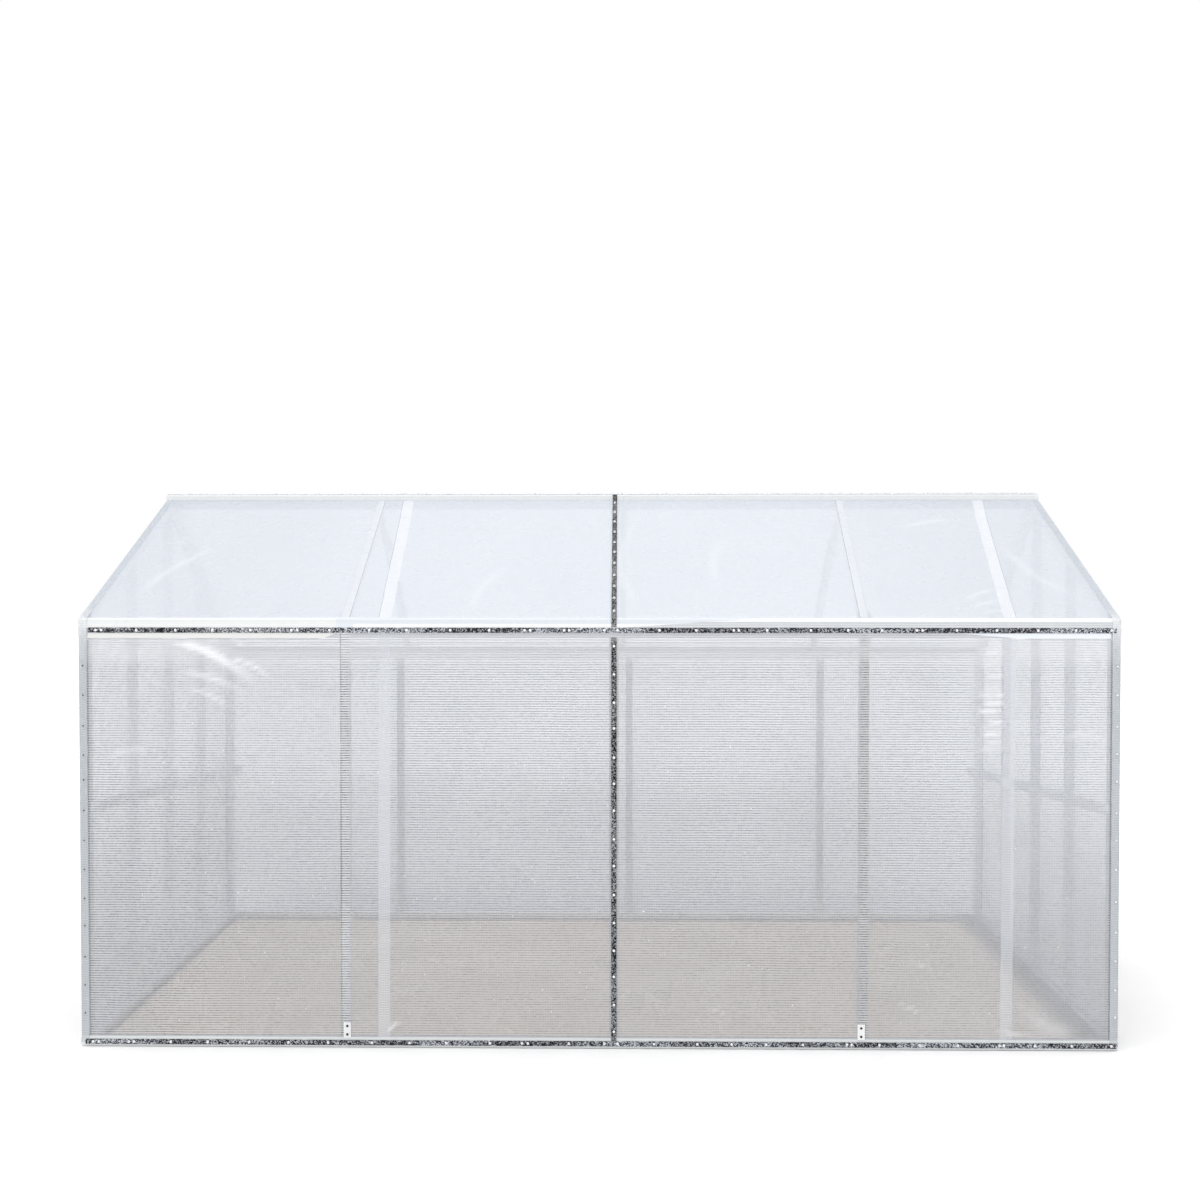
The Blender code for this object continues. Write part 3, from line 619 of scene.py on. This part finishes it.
def build_hems():
    """Doubled film along the eave, the sill and the ridge; at the eave it changes from end to end."""
    # The white hems round the eave bend are doubled film, their whiteness partly a painted highlight on the bend over
    # the rail.
    bands = [("eave_hem_left", -END_X, -0.612, -0.0205, 0.003, HEM_FILM, 0.0),
             ("eave_patch_left", -0.612, -0.572, -0.0205, 0.008, ROOF_LAP_FILM, 0.0),
             ("eave_hem_middle", -0.572, (0.05, 0.19), -0.0205, -0.0110, HEM_FILM, 0.30),
             ("eave_lap_middle", -0.572, (0.19, 0.40), -0.0110, 0.003, ROOF_LAP_FILM, 0.0),
             ("eave_hem_right", (0.25, 0.40), END_X, -0.0070, 0.0031, HEM_FILM, 0.20),
             ("eave_lap_right", (0.05, 0.25), END_X, -0.0205, -0.0070, GREY_LAP_FILM, 0.0),
             # The eave lines are painted shade: dark strips under the folds below the eave.
             ("eave_fold_left", -END_X + 0.020, (-0.640, -0.612), -0.0445, -0.0330, CREAM_FILM, 0.0),
             ("eave_shade_line_left", -END_X + 0.020, (-0.660, -0.640), -0.0468, -0.0445, EDGE_SHADE_FILM, 0.0),
             ("eave_fold_right", (0.99, 0.84), END_X - 0.022, -0.0450, -0.0330, ROOF_LAP_FILM, 0.20),
             ("eave_shade_line_right", (1.00, 0.99), END_X - 0.022, -0.0470, -0.0450, EDGE_SHADE_FILM, 0.0)]
    hems = []
    for name, left, right, v_low, v_high, mat, white_amount in bands:
        stops = (EAVE_V + v_low, EAVE_V + v_high)
        edges = [(stops, edge) if isinstance(edge, tuple) else edge for edge in (left, right)]
        hems.append(cover_strip(name, *edges, *stops, HEM_OFF, mat, white_amount, columns=110))
    hems.append(cover_strip("sill_hem", -END_X, END_X, 0.0005, 0.0228, HEM_OFF, SILL_HEM_FILM, columns=270))
    hems.append(cover_strip("ridge_hem", -END_X, END_X, CREASE_V + 0.001, COVER.length - 0.0005,
                            HEM_OFF, HEM_FILM, columns=270))
    # Painted shade: a dark line up the inner edge of each corner post.
    for side, sign in ENDS:
        edges = sorted((sign * (END_X - 0.0215), sign * (END_X - 0.0175)))
        hems.append(cover_strip("corner_shade_line_" + side, *edges, 0.024, EAVE_V - 0.050, HEM_OFF + 0.0006, EDGE_SHADE_FILM))
    return hems


# ---- Other film panels ----
def soft_creases(a, b, creases):
    """Wider, fainter folds for the panels at the ends, the back and the lid."""
    tall, white = crease_field(a, b, changed(creases, 0.0, 0.6, 1.9))
    return tall, white * 0.55


def rib_window(a, ribs, inner=0.014, outer=0.09):
    free = np.ones_like(a)
    for rib in ribs:
        free *= smooth_step(np.abs(a - rib), inner, outer)
    return free


def build_rear_wall():
    height = REAR_EAVE_Z - FOOT_Z
    x = np.linspace(-END_X, END_X, int(2 * END_X / FILM_STEP / 1.4))
    v = np.linspace(0, height, int(height / FILM_STEP / 1.4))
    grid_x, grid_v = np.meshgrid(x, v)
    ribs = [-END_X, *three("stud_rear_"), END_X]
    free = rib_window(grid_x, ribs) * rib_window(grid_v, (0.0, height), 0.024, 0.10)
    creases = [(-1.05, 0.78, -0.80, 0.66, 0.0036, 0.009), (0.95, 0.80, 1.12, 0.70, 0.0030, 0.008),
               (0.20, 0.06, 0.42, 0.10, 0.0022, 0.008), (-0.50, 0.74, -0.42, 0.52, 0.0018, 0.010)]
    tall, white = soft_creases(grid_x, grid_v, creases)
    off = FILM_OFF + (0.0010 + waves(grid_x, grid_v, 21) * 0.0030) * free + tall * free
    points = np.stack([grid_x, REAR_Y + off, FOOT_Z + grid_v], -1)
    wall = film_sheet("rear_cover", points, grid_x, grid_v, white, REAR_FILM)
    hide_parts("film_rear")


def lid_slope():
    """Angle of the lid below level, from the run of a lid stile."""
    a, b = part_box("lid_stile_left")
    depth, height = b.y - a.y, b.z - a.z
    slope = atan2(height, depth)
    for _ in range(30):
        slope = atan2(height - LID_THICK * cos(slope), depth - LID_THICK * sin(slope))
    return slope


LID_SLOPE = lid_slope()
LID_UP = Vector((0, sin(LID_SLOPE), cos(LID_SLOPE)))
LID_FILM_HEIGHT = -0.0031        # film off the hinge axis, square to the lid
LID_START = 0.012                # from the hinge axis down to the film's top edge
LID_DROP = high("lid_stile_left").z - low("lid_stile_left").z
LID_END = LID_START + (LID_DROP - LID_THICK * cos(LID_SLOPE)) / sin(LID_SLOPE)
REAR_FALL = sin(LID_SLOPE) / cos(LID_SLOPE)


def gable_height(y):
    """Top of an end panel at each y."""
    seat_y, seat_z = RIDGE_REAR_Y, high("film_left").z
    rear_top = REAR_EAVE_Z + (REAR_Y - seat_y) * REAR_FALL
    return np.interp(y, [FRONT_Y, RIDGE_FRONT_Y, RIDGE_FRONT_Y + 1e-4, seat_y, seat_y + 1e-4, REAR_Y],
                     [EAVE_Z, CREASE_Z, seat_z, seat_z, rear_top, REAR_EAVE_Z])


def build_end_wall(side, sign):
    columns = np.unique(np.concatenate([np.linspace(FRONT_Y, REAR_Y, 110),
                                        [RIDGE_FRONT_Y, RIDGE_FRONT_Y + 1e-4, RIDGE_REAR_Y,
                                         RIDGE_REAR_Y + 1e-4]]))
    share = np.linspace(0, 1, 120)
    tops = gable_height(columns)
    grid_y = np.repeat(columns[None, :], len(share), 0)
    grid_z = FOOT_Z + share[:, None] * (tops - FOOT_Z)[None, :]
    ribs = [FRONT_Y, *[middle(f"stud_{side}_{p}").y for p in ("front", "middle", "rear")], REAR_Y]
    free = rib_window(grid_y, ribs) * smooth_step(grid_z, 0.03, 0.12)
    free *= smooth_step(tops[None, :] - grid_z, 0.03, 0.12)
    creases = [(-0.55, 0.93, -0.36, 0.80, 0.0034, 0.008), (0.54, 0.80, 0.38, 0.66, 0.0030, 0.008),
               (-0.18, 1.10, -0.10, 0.92, 0.0020, 0.008), (-0.54, 0.06, -0.38, 0.12, 0.0022, 0.008),
               (0.12, 0.90, 0.18, 0.60, 0.0014, 0.010)]
    tall, white = soft_creases(grid_y * (1 if sign > 0 else 0.96), grid_z, creases)
    lift = FILM_OFF * 0.7 + (waves(grid_y, grid_z, 31 + sign) * 0.0028 + tall) * free
    points = np.stack([sign * (END_X + lift), grid_y, grid_z], -1)
    wall = film_sheet("end_cover_" + side, points, grid_y, grid_z, white, LEFT_FILM if sign < 0 else RIGHT_FILM)
    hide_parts("film_" + side)


def on_lid(x, along, height):
    """World points from lid places: x, distance down the lid, height above the hinge axis."""
    y = HINGE.y + along * cos(LID_SLOPE) + height * sin(LID_SLOPE)
    z = HINGE.z - along * sin(LID_SLOPE) + height * cos(LID_SLOPE)
    return np.stack([x, y, z], -1)


def build_lid_cover():
    x = np.linspace(-END_X, END_X, int(2 * END_X / FILM_STEP / 1.3))
    along = np.linspace(LID_START, LID_END, int((LID_END - LID_START) / FILM_STEP / 1.3))
    grid_x, grid_a = np.meshgrid(x, along)
    ribs = [-END_X, *three("lid_muntin_"), END_X]
    free = rib_window(grid_x, ribs, 0.030, 0.12) * rib_window(grid_a, (LID_START, LID_END), 0.024, 0.10)
    creases = [(-1.15, 0.60, -0.92, 0.44, 0.0030, 0.009), (0.95, 0.62, 1.14, 0.50, 0.0026, 0.008),
               (0.30, 0.10, 0.36, 0.40, 0.0014, 0.010)]
    tall, white = soft_creases(grid_x, grid_a, creases)
    lift = (-0.0035 + waves(grid_x, grid_a, 41) * 0.0022 + tall) * free
    points = on_lid(grid_x, grid_a, LID_FILM_HEIGHT + lift)
    cover = film_sheet("lid_cover", points, grid_x, grid_a, white, LID_FILM, "lid")
    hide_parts("lid_film")
    build_lid_flap()


# ---- Folded film around the corners and up the verges ----
def build_corner_wrap(side, sign):
    """Film lapped over an end corner: one leg on the front and roof, one on the end wall."""
    front_leg, side_leg = 0.0195, 0.026
    across = np.concatenate([np.linspace(-front_leg, -0.002, 7), [-0.0008, 0.0004, 0.0016],
                             np.linspace(0.003, side_leg, 8)])
    rows = np.array([v for v in cover_rows() if 0.004 < v < CREASE_V - 0.004])
    grid_a, grid_v = np.meshgrid(across, rows)
    rumple = np.exp(-((grid_v - EAVE_V + 0.01) / 0.045) ** 2)
    facets = crumple(grid_a * 1.3, grid_v, 7 + sign, 0.020)
    soft = waves(grid_a * 6, grid_v, 17 + sign, 7, 0.30, 0.05)
    puff = rumple * facets * 0.0036 + 0.0002 * (soft + 1)
    on_front = grid_a <= 0
    x = np.where(on_front, END_X + 0.0011 + grid_a, END_X + 0.0013 + puff)
    off = np.where(on_front, HEM_OFF + 0.0003 + puff * smooth_step(-grid_a, 0.0, 0.004) * 0.8, -grid_a)
    y, z = COVER.at(grid_v, off)
    points = np.stack([sign * x, y, z], -1)
    film_sheet("corner_wrap_" + side, points, grid_a, grid_v, rumple * (0.35 + facets * 0.65), WRAP_FILM)


def build_rear_wrap(side, sign):
    """Film lapped over a rear corner, with a leg on the rear wall and one under the end's batten."""
    leg = 0.013
    rows = np.linspace(0.004, REAR_EAVE_Z - 0.006, 90)
    grid_a, grid_z = np.meshgrid(np.linspace(-leg, leg, 15), rows)
    soft = 0.0002 * (waves(grid_a * 6, grid_z, 27 + sign, 7, 0.30, 0.05) + 1)
    on_rear = grid_a <= 0
    x = np.where(on_rear, END_X + 0.0011 + grid_a, END_X + 0.0013 + soft)
    y = REAR_Y + HEM_OFF + 0.0003 + np.where(on_rear, soft, -grid_a)
    film_sheet("rear_wrap_" + side, np.stack([sign * x, y, grid_z], -1), grid_a, grid_z,
               np.zeros_like(grid_a), WRAP_FILM)


# ---- Battens and screws ----
def ring_stack(bm, place, rings, count):
    """Closed solid through rings of (radius, height), each with count corners."""
    loops = []
    for radius, height in rings:
        loops.append([bm.verts.new(place @ Vector((radius * cos(2 * pi * i / count),
                                                   radius * sin(2 * pi * i / count), height)))
                      for i in range(count)])
    bm.faces.new(loops[0][::-1])
    for a, b in zip(loops, loops[1:]):
        for i in range(count):
            j = (i + 1) % count
            bm.faces.new((a[i], a[j], b[j], b[i]))
    bm.faces.new(loops[-1])


def facing(spot, normal):
    """Turn and move that stands a small part on a spot, along the normal."""
    return Matrix.Translation(spot) @ Vector(normal).normalized().to_track_quat("Z", "Y").to_matrix().to_4x4()


def small_parts(name, bm, mat, body):
    mesh = bpy.data.meshes.new(name)
    bm.to_mesh(mesh)
    bm.free()
    obj = new_object(name, mesh, mat)
    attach(obj, body)


def screw_row(name, spots, normal, mat=SCREW_LOOK, radius=SCREW_RADIUS, body="frame"):
    """Flanged hex heads: a thin round flange with a chamfered hexagon on it, each turned at random."""
    rng = random.Random(name)
    bm = bmesh.new()
    for spot in spots:
        place = facing(spot, normal) @ Matrix.Rotation(rng.uniform(0, pi / 3), 4, "Z")
        ring_stack(bm, place, [(radius, 0.0), (radius, 0.0006), (radius * 0.86, 0.0010)], 18)
        ring_stack(bm, place, [(radius * 0.68, 0.0009), (radius * 0.68, 0.0030), (radius * 0.55, 0.0036)], 6)
    small_parts(name, bm, mat, body)


WASHER_RADIUS = 0.0046
WASHER_THICK = 0.0008


def washer_row(name, spots, normal):
    """Sealing washers whose near-black tone is partly painted shade, for the shaded recess round each screw head: flat
    rings with a bevelled rim.
    """
    bm = bmesh.new()
    for spot in spots:
        ring_stack(bm, facing(spot, normal), [(WASHER_RADIUS, 0.0), (WASHER_RADIUS, 0.0005),
                                              (WASHER_RADIUS - 0.0004, WASHER_THICK)], 18)
    small_parts(name, bm, WASHER_SHADE_LOOK, "frame")


def spaced(start, end, pitch, jitter, seed, doubles=0.0):
    """Places along a batten: about one pitch apart, now and then with a second screw close by."""
    rng = random.Random(seed)
    count = max(1, round((end - start) / pitch))
    places = []
    for i in range(count + 1):
        place = start + (end - start) * i / count
        if 0 < i < count:
            place += rng.uniform(-jitter, jitter)
        places.append(place)
        if rng.random() < doubles and i < count:
            places.append(place + rng.uniform(0.010, 0.014))
    return places


def build_front_screws():
    face = FRONT_Y - BATTEN_OFF - BATTEN_THICK
    out = (0, -1, 0)
    for level in ("eave", "sill"):
        for side in ("left", "right"):
            a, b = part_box(f"batten_{level}_{side}")
            z = (a.z + b.z) / 2
            places = spaced(a.x + 0.018, b.x - 0.012, 0.090, 0.010, f"{level}{side}", 0.14)
            screw_row(f"screws_{level}_{side}", [(x, face, z) for x in places], out)
    # The left post's screws take the dark screw finish as painted shade, for shaded holes; the right post's are bright.
    for side, sign, mat, reach, size in (("left", -1, DARK_SCREW_LOOK, 0.0085, 0.0016),
                                         ("right", 1, SCREW_LOOK, 0.0060, 0.0024)):
        places = spaced(0.080, EAVE_Z - 0.110, CLOSE_PITCH, 0.006, "post" + side)
        screw_row("screws_post_" + side, [(sign * (END_X - reach), FRONT_Y - HEM_OFF - 0.0009, z) for z in places],
                  out, mat, size)
    a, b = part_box("batten_front_centre")
    places = spaced(a.z + 0.022, b.z - 0.020, CLOSE_PITCH, 0.003, "centre")
    spots = [Vector(((a.x + b.x) / 2, face, z)) for z in places]
    washer_row("washers_front_centre", spots, out)
    screw_row("screws_front_centre", [p + Vector(out) * WASHER_THICK for p in spots], out)
    x = middle("batten_roof_centre").x
    spots = [(x, *COVER.at(v, BATTEN_OFF + BATTEN_THICK))
             for v in spaced(EAVE_V + 0.035, CREASE_V - 0.020, 0.066, 0.004, "roof")]
    screw_row("screws_roof_centre", spots, (0, -sin(FRONT_SLOPE), cos(FRONT_SLOPE)), radius=0.0038)


def batten(name, start, end, normal, body, width=BATTEN_WIDTH, thick=BATTEN_THICK, mat=PALE_BATTEN_LOOK):
    """Flat bar with slightly eased edges from start to end, its back on the line given."""
    a, b = Vector(start), Vector(end)
    run = (b - a).normalized()
    up = Vector(normal).normalized()
    side = run.cross(up).normalized()
    ease = 0.0003
    half = width / 2
    profile = [(-half, 0), (half, 0), (half, thick - ease), (half - ease, thick),
               (-half + ease, thick), (-half, thick - ease)]
    verts = [p + side * u + up * t for p in (a, b) for u, t in profile]
    count = len(profile)
    faces = [[i, (i + 1) % count, count + (i + 1) % count, count + i] for i in range(count)]
    faces += [list(range(count))[::-1], list(range(count, 2 * count))]
    bar = mesh_object(name, verts, faces, mat)
    bm = bmesh.new()
    bm.from_mesh(bar.data)
    bmesh.ops.recalc_face_normals(bm, faces=bm.faces[:])
    bm.to_mesh(bar.data)
    bm.free()
    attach(bar, body)


def batten_with_screws(name, start, end, normal, body, pitch=SCREW_PITCH, jitter=0.012):
    batten("batten_" + name, start, end, normal, body)
    a, b = Vector(start), Vector(end)
    length = (b - a).length
    up = Vector(normal).normalized()
    places = spaced(0.016, length - 0.016, pitch, jitter, name)
    spots = [a + (b - a) * (p / length) + up * BATTEN_THICK for p in places]
    screw_row("screws_" + name, spots, normal, body=body)


def build_end_battens():
    """Battens on the end walls: up both corners, along the sill and under both roof edges."""
    front, rear = FRONT_Y + TUBE / 2 + 0.001, REAR_Y - TUBE / 2
    drop = 0.016             # below the roof's edge
    verge_front = [(y, EAVE_Z + (y - FRONT_Y) * FRONT_RISE - drop) for y in (FRONT_Y + 0.040, RIDGE_FRONT_Y - 0.006)]
    verge_rear = [(y, REAR_EAVE_Z + (REAR_Y - y) * REAR_FALL - drop) for y in (RIDGE_REAR_Y + 0.012, REAR_Y - 0.020)]
    for side, sign in ENDS:
        x = sign * (END_X + 0.0024)
        for name, start, end, *spacing in (
                ("corner_front_", (front, 0.030), (front, 0.935), 0.059, 0.004),
                ("corner_rear_", (rear, 0.030), (rear, REAR_EAVE_Z - 0.040), 0.085),
                ("sill_end_", (FRONT_Y + 0.004, 0.013), (REAR_Y - 0.004, 0.013)),
                ("verge_front_", *verge_front), ("verge_rear_", *verge_rear)):
            batten_with_screws(name + side, (x, *start), (x, *end), (sign, 0, 0), "frame", *spacing)


def build_rear_battens():
    y = REAR_Y + BATTEN_OFF
    out = (0, 1, 0)
    joint = middle("stud_rear_centre").x
    for side, x0, x1 in (("left", -END_X + 0.012, joint - 0.001), ("right", joint + 0.001, END_X - 0.010)):
        for name, z in (("rear_eave_", REAR_EAVE_Z - 0.0105), ("rear_sill_", 0.0135)):
            batten_with_screws(name + side, (x0, y, z), (x1, y, z), out, "frame")
    batten_with_screws("rear_centre", (joint, y, 0.022), (joint, y, REAR_EAVE_Z - 0.0185), out, "frame",
                       CLOSE_PITCH, 0.003)


def build_lid_flap():
    """Strip of film that hangs from the lid's lower edge and closes the gap above the rear rail."""
    top = on_lid(0.0, LID_END - 0.020, LID_FILM_HEIGHT + 0.0006)
    edge = on_lid(0.0, LID_END + 0.0012, LID_FILM_HEIGHT + 0.0002)
    hang_y = REAR_Y + BATTEN_OFF + BATTEN_THICK + 0.0045
    path = Profile([top[1:], edge[1:], (hang_y, edge[2] - 0.010), (hang_y, edge[2] - 0.030)], 0.003)
    down = np.linspace(0, 1, 22)
    y, z = path.at(down * path.length, 0.0)
    x = np.linspace(-END_X, END_X, 200)
    grid_x, grid_y = np.meshgrid(x, y)
    grid_z = np.meshgrid(x, z)[1]
    grid_y = grid_y + 0.0012 * (1 + waves(grid_x, grid_z, 51, 7, 0.5, 0.06)) * down[:, None] ** 2
    length = np.meshgrid(x, down * 0.06)[1]
    return film_sheet("lid_flap", np.stack([grid_x, grid_y, grid_z], -1), grid_x, length,
                      np.zeros_like(grid_x), HEM_FILM, "lid")


def build_lid_battens():
    """Battens along the lid's stiles, its bottom rail and its centre muntin."""
    def spot(x, along):
        return Vector(on_lid(x, along, LID_FILM_HEIGHT + 0.0005))

    half = 0.010             # from an edge of the lid to the middle of a batten
    for side, sign in ENDS:
        x = sign * (END_X - half)
        batten_with_screws("lid_stile_" + side, spot(x, 0.036), spot(x, LID_END - 0.002), LID_UP, "lid")
    bottom = LID_END - half
    inner = END_X - 2 * half
    centre = middle("lid_muntin_centre").x
    for side, x0, x1 in (("left", -inner, centre - 0.001), ("right", centre + 0.001, inner)):
        batten_with_screws("lid_bottom_" + side, spot(x0, bottom), spot(x1, bottom), LID_UP, "lid")
    batten_with_screws("lid_centre", spot(centre, 0.036), spot(centre, bottom - 0.009), LID_UP, "lid",
                       CLOSE_PITCH, 0.003)


# ---- Straps, foot plates, rail plugs, hinge screws ----
def build_straps():
    """Bent plates that join each quarter stud to its rafter over the eave, under the film."""
    for side, foot, top, mat in (("left", STUD_X[0], RAFTER_TOP_X[0], STRAP_LOOK),
                                 ("right", STUD_X[2], RAFTER_TOP_X[2], GREY_STRAP_LOOK)):
        rows = [v for v in cover_rows() if EAVE_V - 0.082 < v < EAVE_V + 0.046]
        verts, faces = [], []
        for near in (0.0001, 0.0007):
            for v in rows:
                y, z = COVER.at(v, near)
                x = foot + max(0.0, v - EAVE_V) * (top - foot) / ROOF_RUN
                ends = min(v - rows[0], rows[-1] - v)
                half = 0.0165 - 0.010 * max(0.0, 1 - ends / 0.012) ** 2
                half -= 0.005 * min(1.0, max(0.0, EAVE_V - 0.036 - v) / 0.025)
                verts += [(x - half, y, z), (x + half, y, z)]
        n = len(rows)
        for layer in (0, 2 * n):
            for i in range(n - 1):
                a = layer + 2 * i
                faces.append([a, a + 1, a + 3, a + 2] if layer else [a + 2, a + 3, a + 1, a])
        for i in range(n - 1):
            a, b = 2 * i, 2 * n + 2 * i
            faces += [[a, a + 2, b + 2, b], [a + 3, a + 1, b + 1, b + 3]]
        last = 2 * (n - 1)
        faces += [[1, 0, 2 * n, 2 * n + 1], [last, last + 1, 2 * n + last + 1, 2 * n + last]]
        strap = mesh_object("rafter_strap_" + side, verts, faces, mat)
        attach(strap, "frame")


def build_foot_plates():
    face = FRONT_Y - BATTEN_OFF
    out = (0, -1, 0)
    for side, x in (("left", STUD_X[0] + 0.003), ("right", STUD_X[2] - 0.005)):
        batten("foot_plate_" + side, (x, face, 0.0235), (x, face, 0.060), out, "frame",
               0.017, PLATE_THICK, PLATE_LOOK)
        screw_row("foot_screws_" + side, [(x, face - PLATE_THICK, z) for z in (0.0315, 0.0515)],
                  out, DARK_SCREW_LOOK, 0.0030)


def build_rail_plugs():
    """Thin plugs that close the open ends of the two side rails."""
    half = 0.0092
    for side, _ in ENDS:
        a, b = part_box("side_rail_" + side)
        x = (a.x + b.x) / 2
        for end, y, z, out in (("front", a.y + 0.0018, b.z - 0.011, -1), ("rear", b.y - 0.0018, a.z + 0.011, 1)):
            batten(f"rail_plug_{end}_{side}", (x, y, z - half), (x, y, z + half), (0, out, 0), "frame",
                   0.0186, PLATE_THICK, PLATE_LOOK)


def build_hinge_screws():
    count = 20
    places = [-END_X + (i + 0.5) * 2 * END_X / count for i in range(count)]
    spots = [(x, low("hinge_leaf_ridge").y + 0.0085, HINGE.z - 0.0003) for x in places]
    screw_row("hinge_screws_ridge", spots, (0, 0, 1), HINGE_LOOK, 0.0030)
    spots = [Vector(on_lid(x, 0.021, -0.0010)) for x in places]
    screw_row("hinge_screws_lid", spots, LID_UP, HINGE_LOOK, 0.0030, "lid")


# ---- Finishes on the carried-over nodes; the tube tones are painted light and shade ----
def finish_nodes():
    # Which tube tone a part takes is painted light and shade: lighter for parts lit less inside the frame, darker for
    # the right sill in shade.
    for name, node in frame["nodes"].items():
        if name.endswith("_centre") and name.startswith("batten_"):
            look = CENTRE_BATTEN_LOOK
        elif name.startswith("batten_"):
            look = BATTEN_LOOK
        elif name.startswith(("hinge_", "prop_bolt")):
            look = HINGE_LOOK
        elif name.startswith(("lid_", "eave_rail_rear", "rafter_", "roof_rail", "stud_left", "post_rear", "sill_rear")):
            look = LIT_TUBE_LOOK
        elif name.startswith(("stud_rear", "stud_right", "stud_front_left", "ridge", "sill_left", "side_rail",
                              "prop_arm")):
            look = MID_LIT_TUBE_LOOK
        else:
            look = SHADED_TUBE_LOOK
        for slot in node.material_slots:
            slot.material = look


# ---- Stage ----
SKY_POWER = 1.0
SKY_SPREAD = 60.0                       # degrees
SKY_AIM = (0.25, 0.35, -1.0)
FLOOR_HALF = 30.0
SENSOR_MM = 36.0
LENS_MM = 40.843
CAMERA_PLACE = (0.0527, -3.7921, 1.1248)
CAMERA_TURN = (90 - 1.222, 0.0, 0.817)  # degrees


def build_stage():
    corners = [(x * FLOOR_HALF, y * FLOOR_HALF, 0) for x, y in ((-1, -1), (1, -1), (1, 1), (-1, 1))]
    floor = mesh_object("floor", corners, [[0, 1, 2, 3]], floor_material("floor_pale"))
    floor.location.z = cad_low.z - 0.0005
    world = bpy.data.worlds.new("studio")
    world.use_nodes = True
    backdrop = world.node_tree.nodes["Background"]
    backdrop.inputs["Color"].default_value = (1.0, 1.0, 1.0, 1.0)
    backdrop.inputs["Strength"].default_value = 1.0
    bpy.context.scene.world = world
    light = bpy.data.lights.new("soft_sky", "SUN")
    light.energy = SKY_POWER
    light.angle = radians(SKY_SPREAD)
    lamp = new_object("soft_sky", light)
    lamp.rotation_euler = Vector(SKY_AIM).to_track_quat("-Z", "Y").to_euler()
    bpy.context.scene.view_settings.view_transform = "Standard"


def build_camera():
    lens = bpy.data.cameras.new("camera")
    lens.sensor_width = SENSOR_MM
    lens.lens = LENS_MM
    camera = new_object("camera", lens)
    camera.location = CAMERA_PLACE
    camera.rotation_euler = Euler([radians(angle) for angle in CAMERA_TURN])
    bpy.context.scene.camera = camera


def main():
    build_camera()
    build_stage()
    finish_nodes()
    cover = build_cover()
    layers = build_seams() + build_hems()
    build_rear_wall()
    for side, sign in ENDS:
        build_end_wall(side, sign)
        build_corner_wrap(side, sign)
        build_rear_wrap(side, sign)
    build_lid_cover()
    build_front_screws()
    build_end_battens()
    build_rear_battens()
    build_lid_battens()
    build_straps()
    build_foot_plates()
    build_rail_plugs()
    build_hinge_screws()


main()
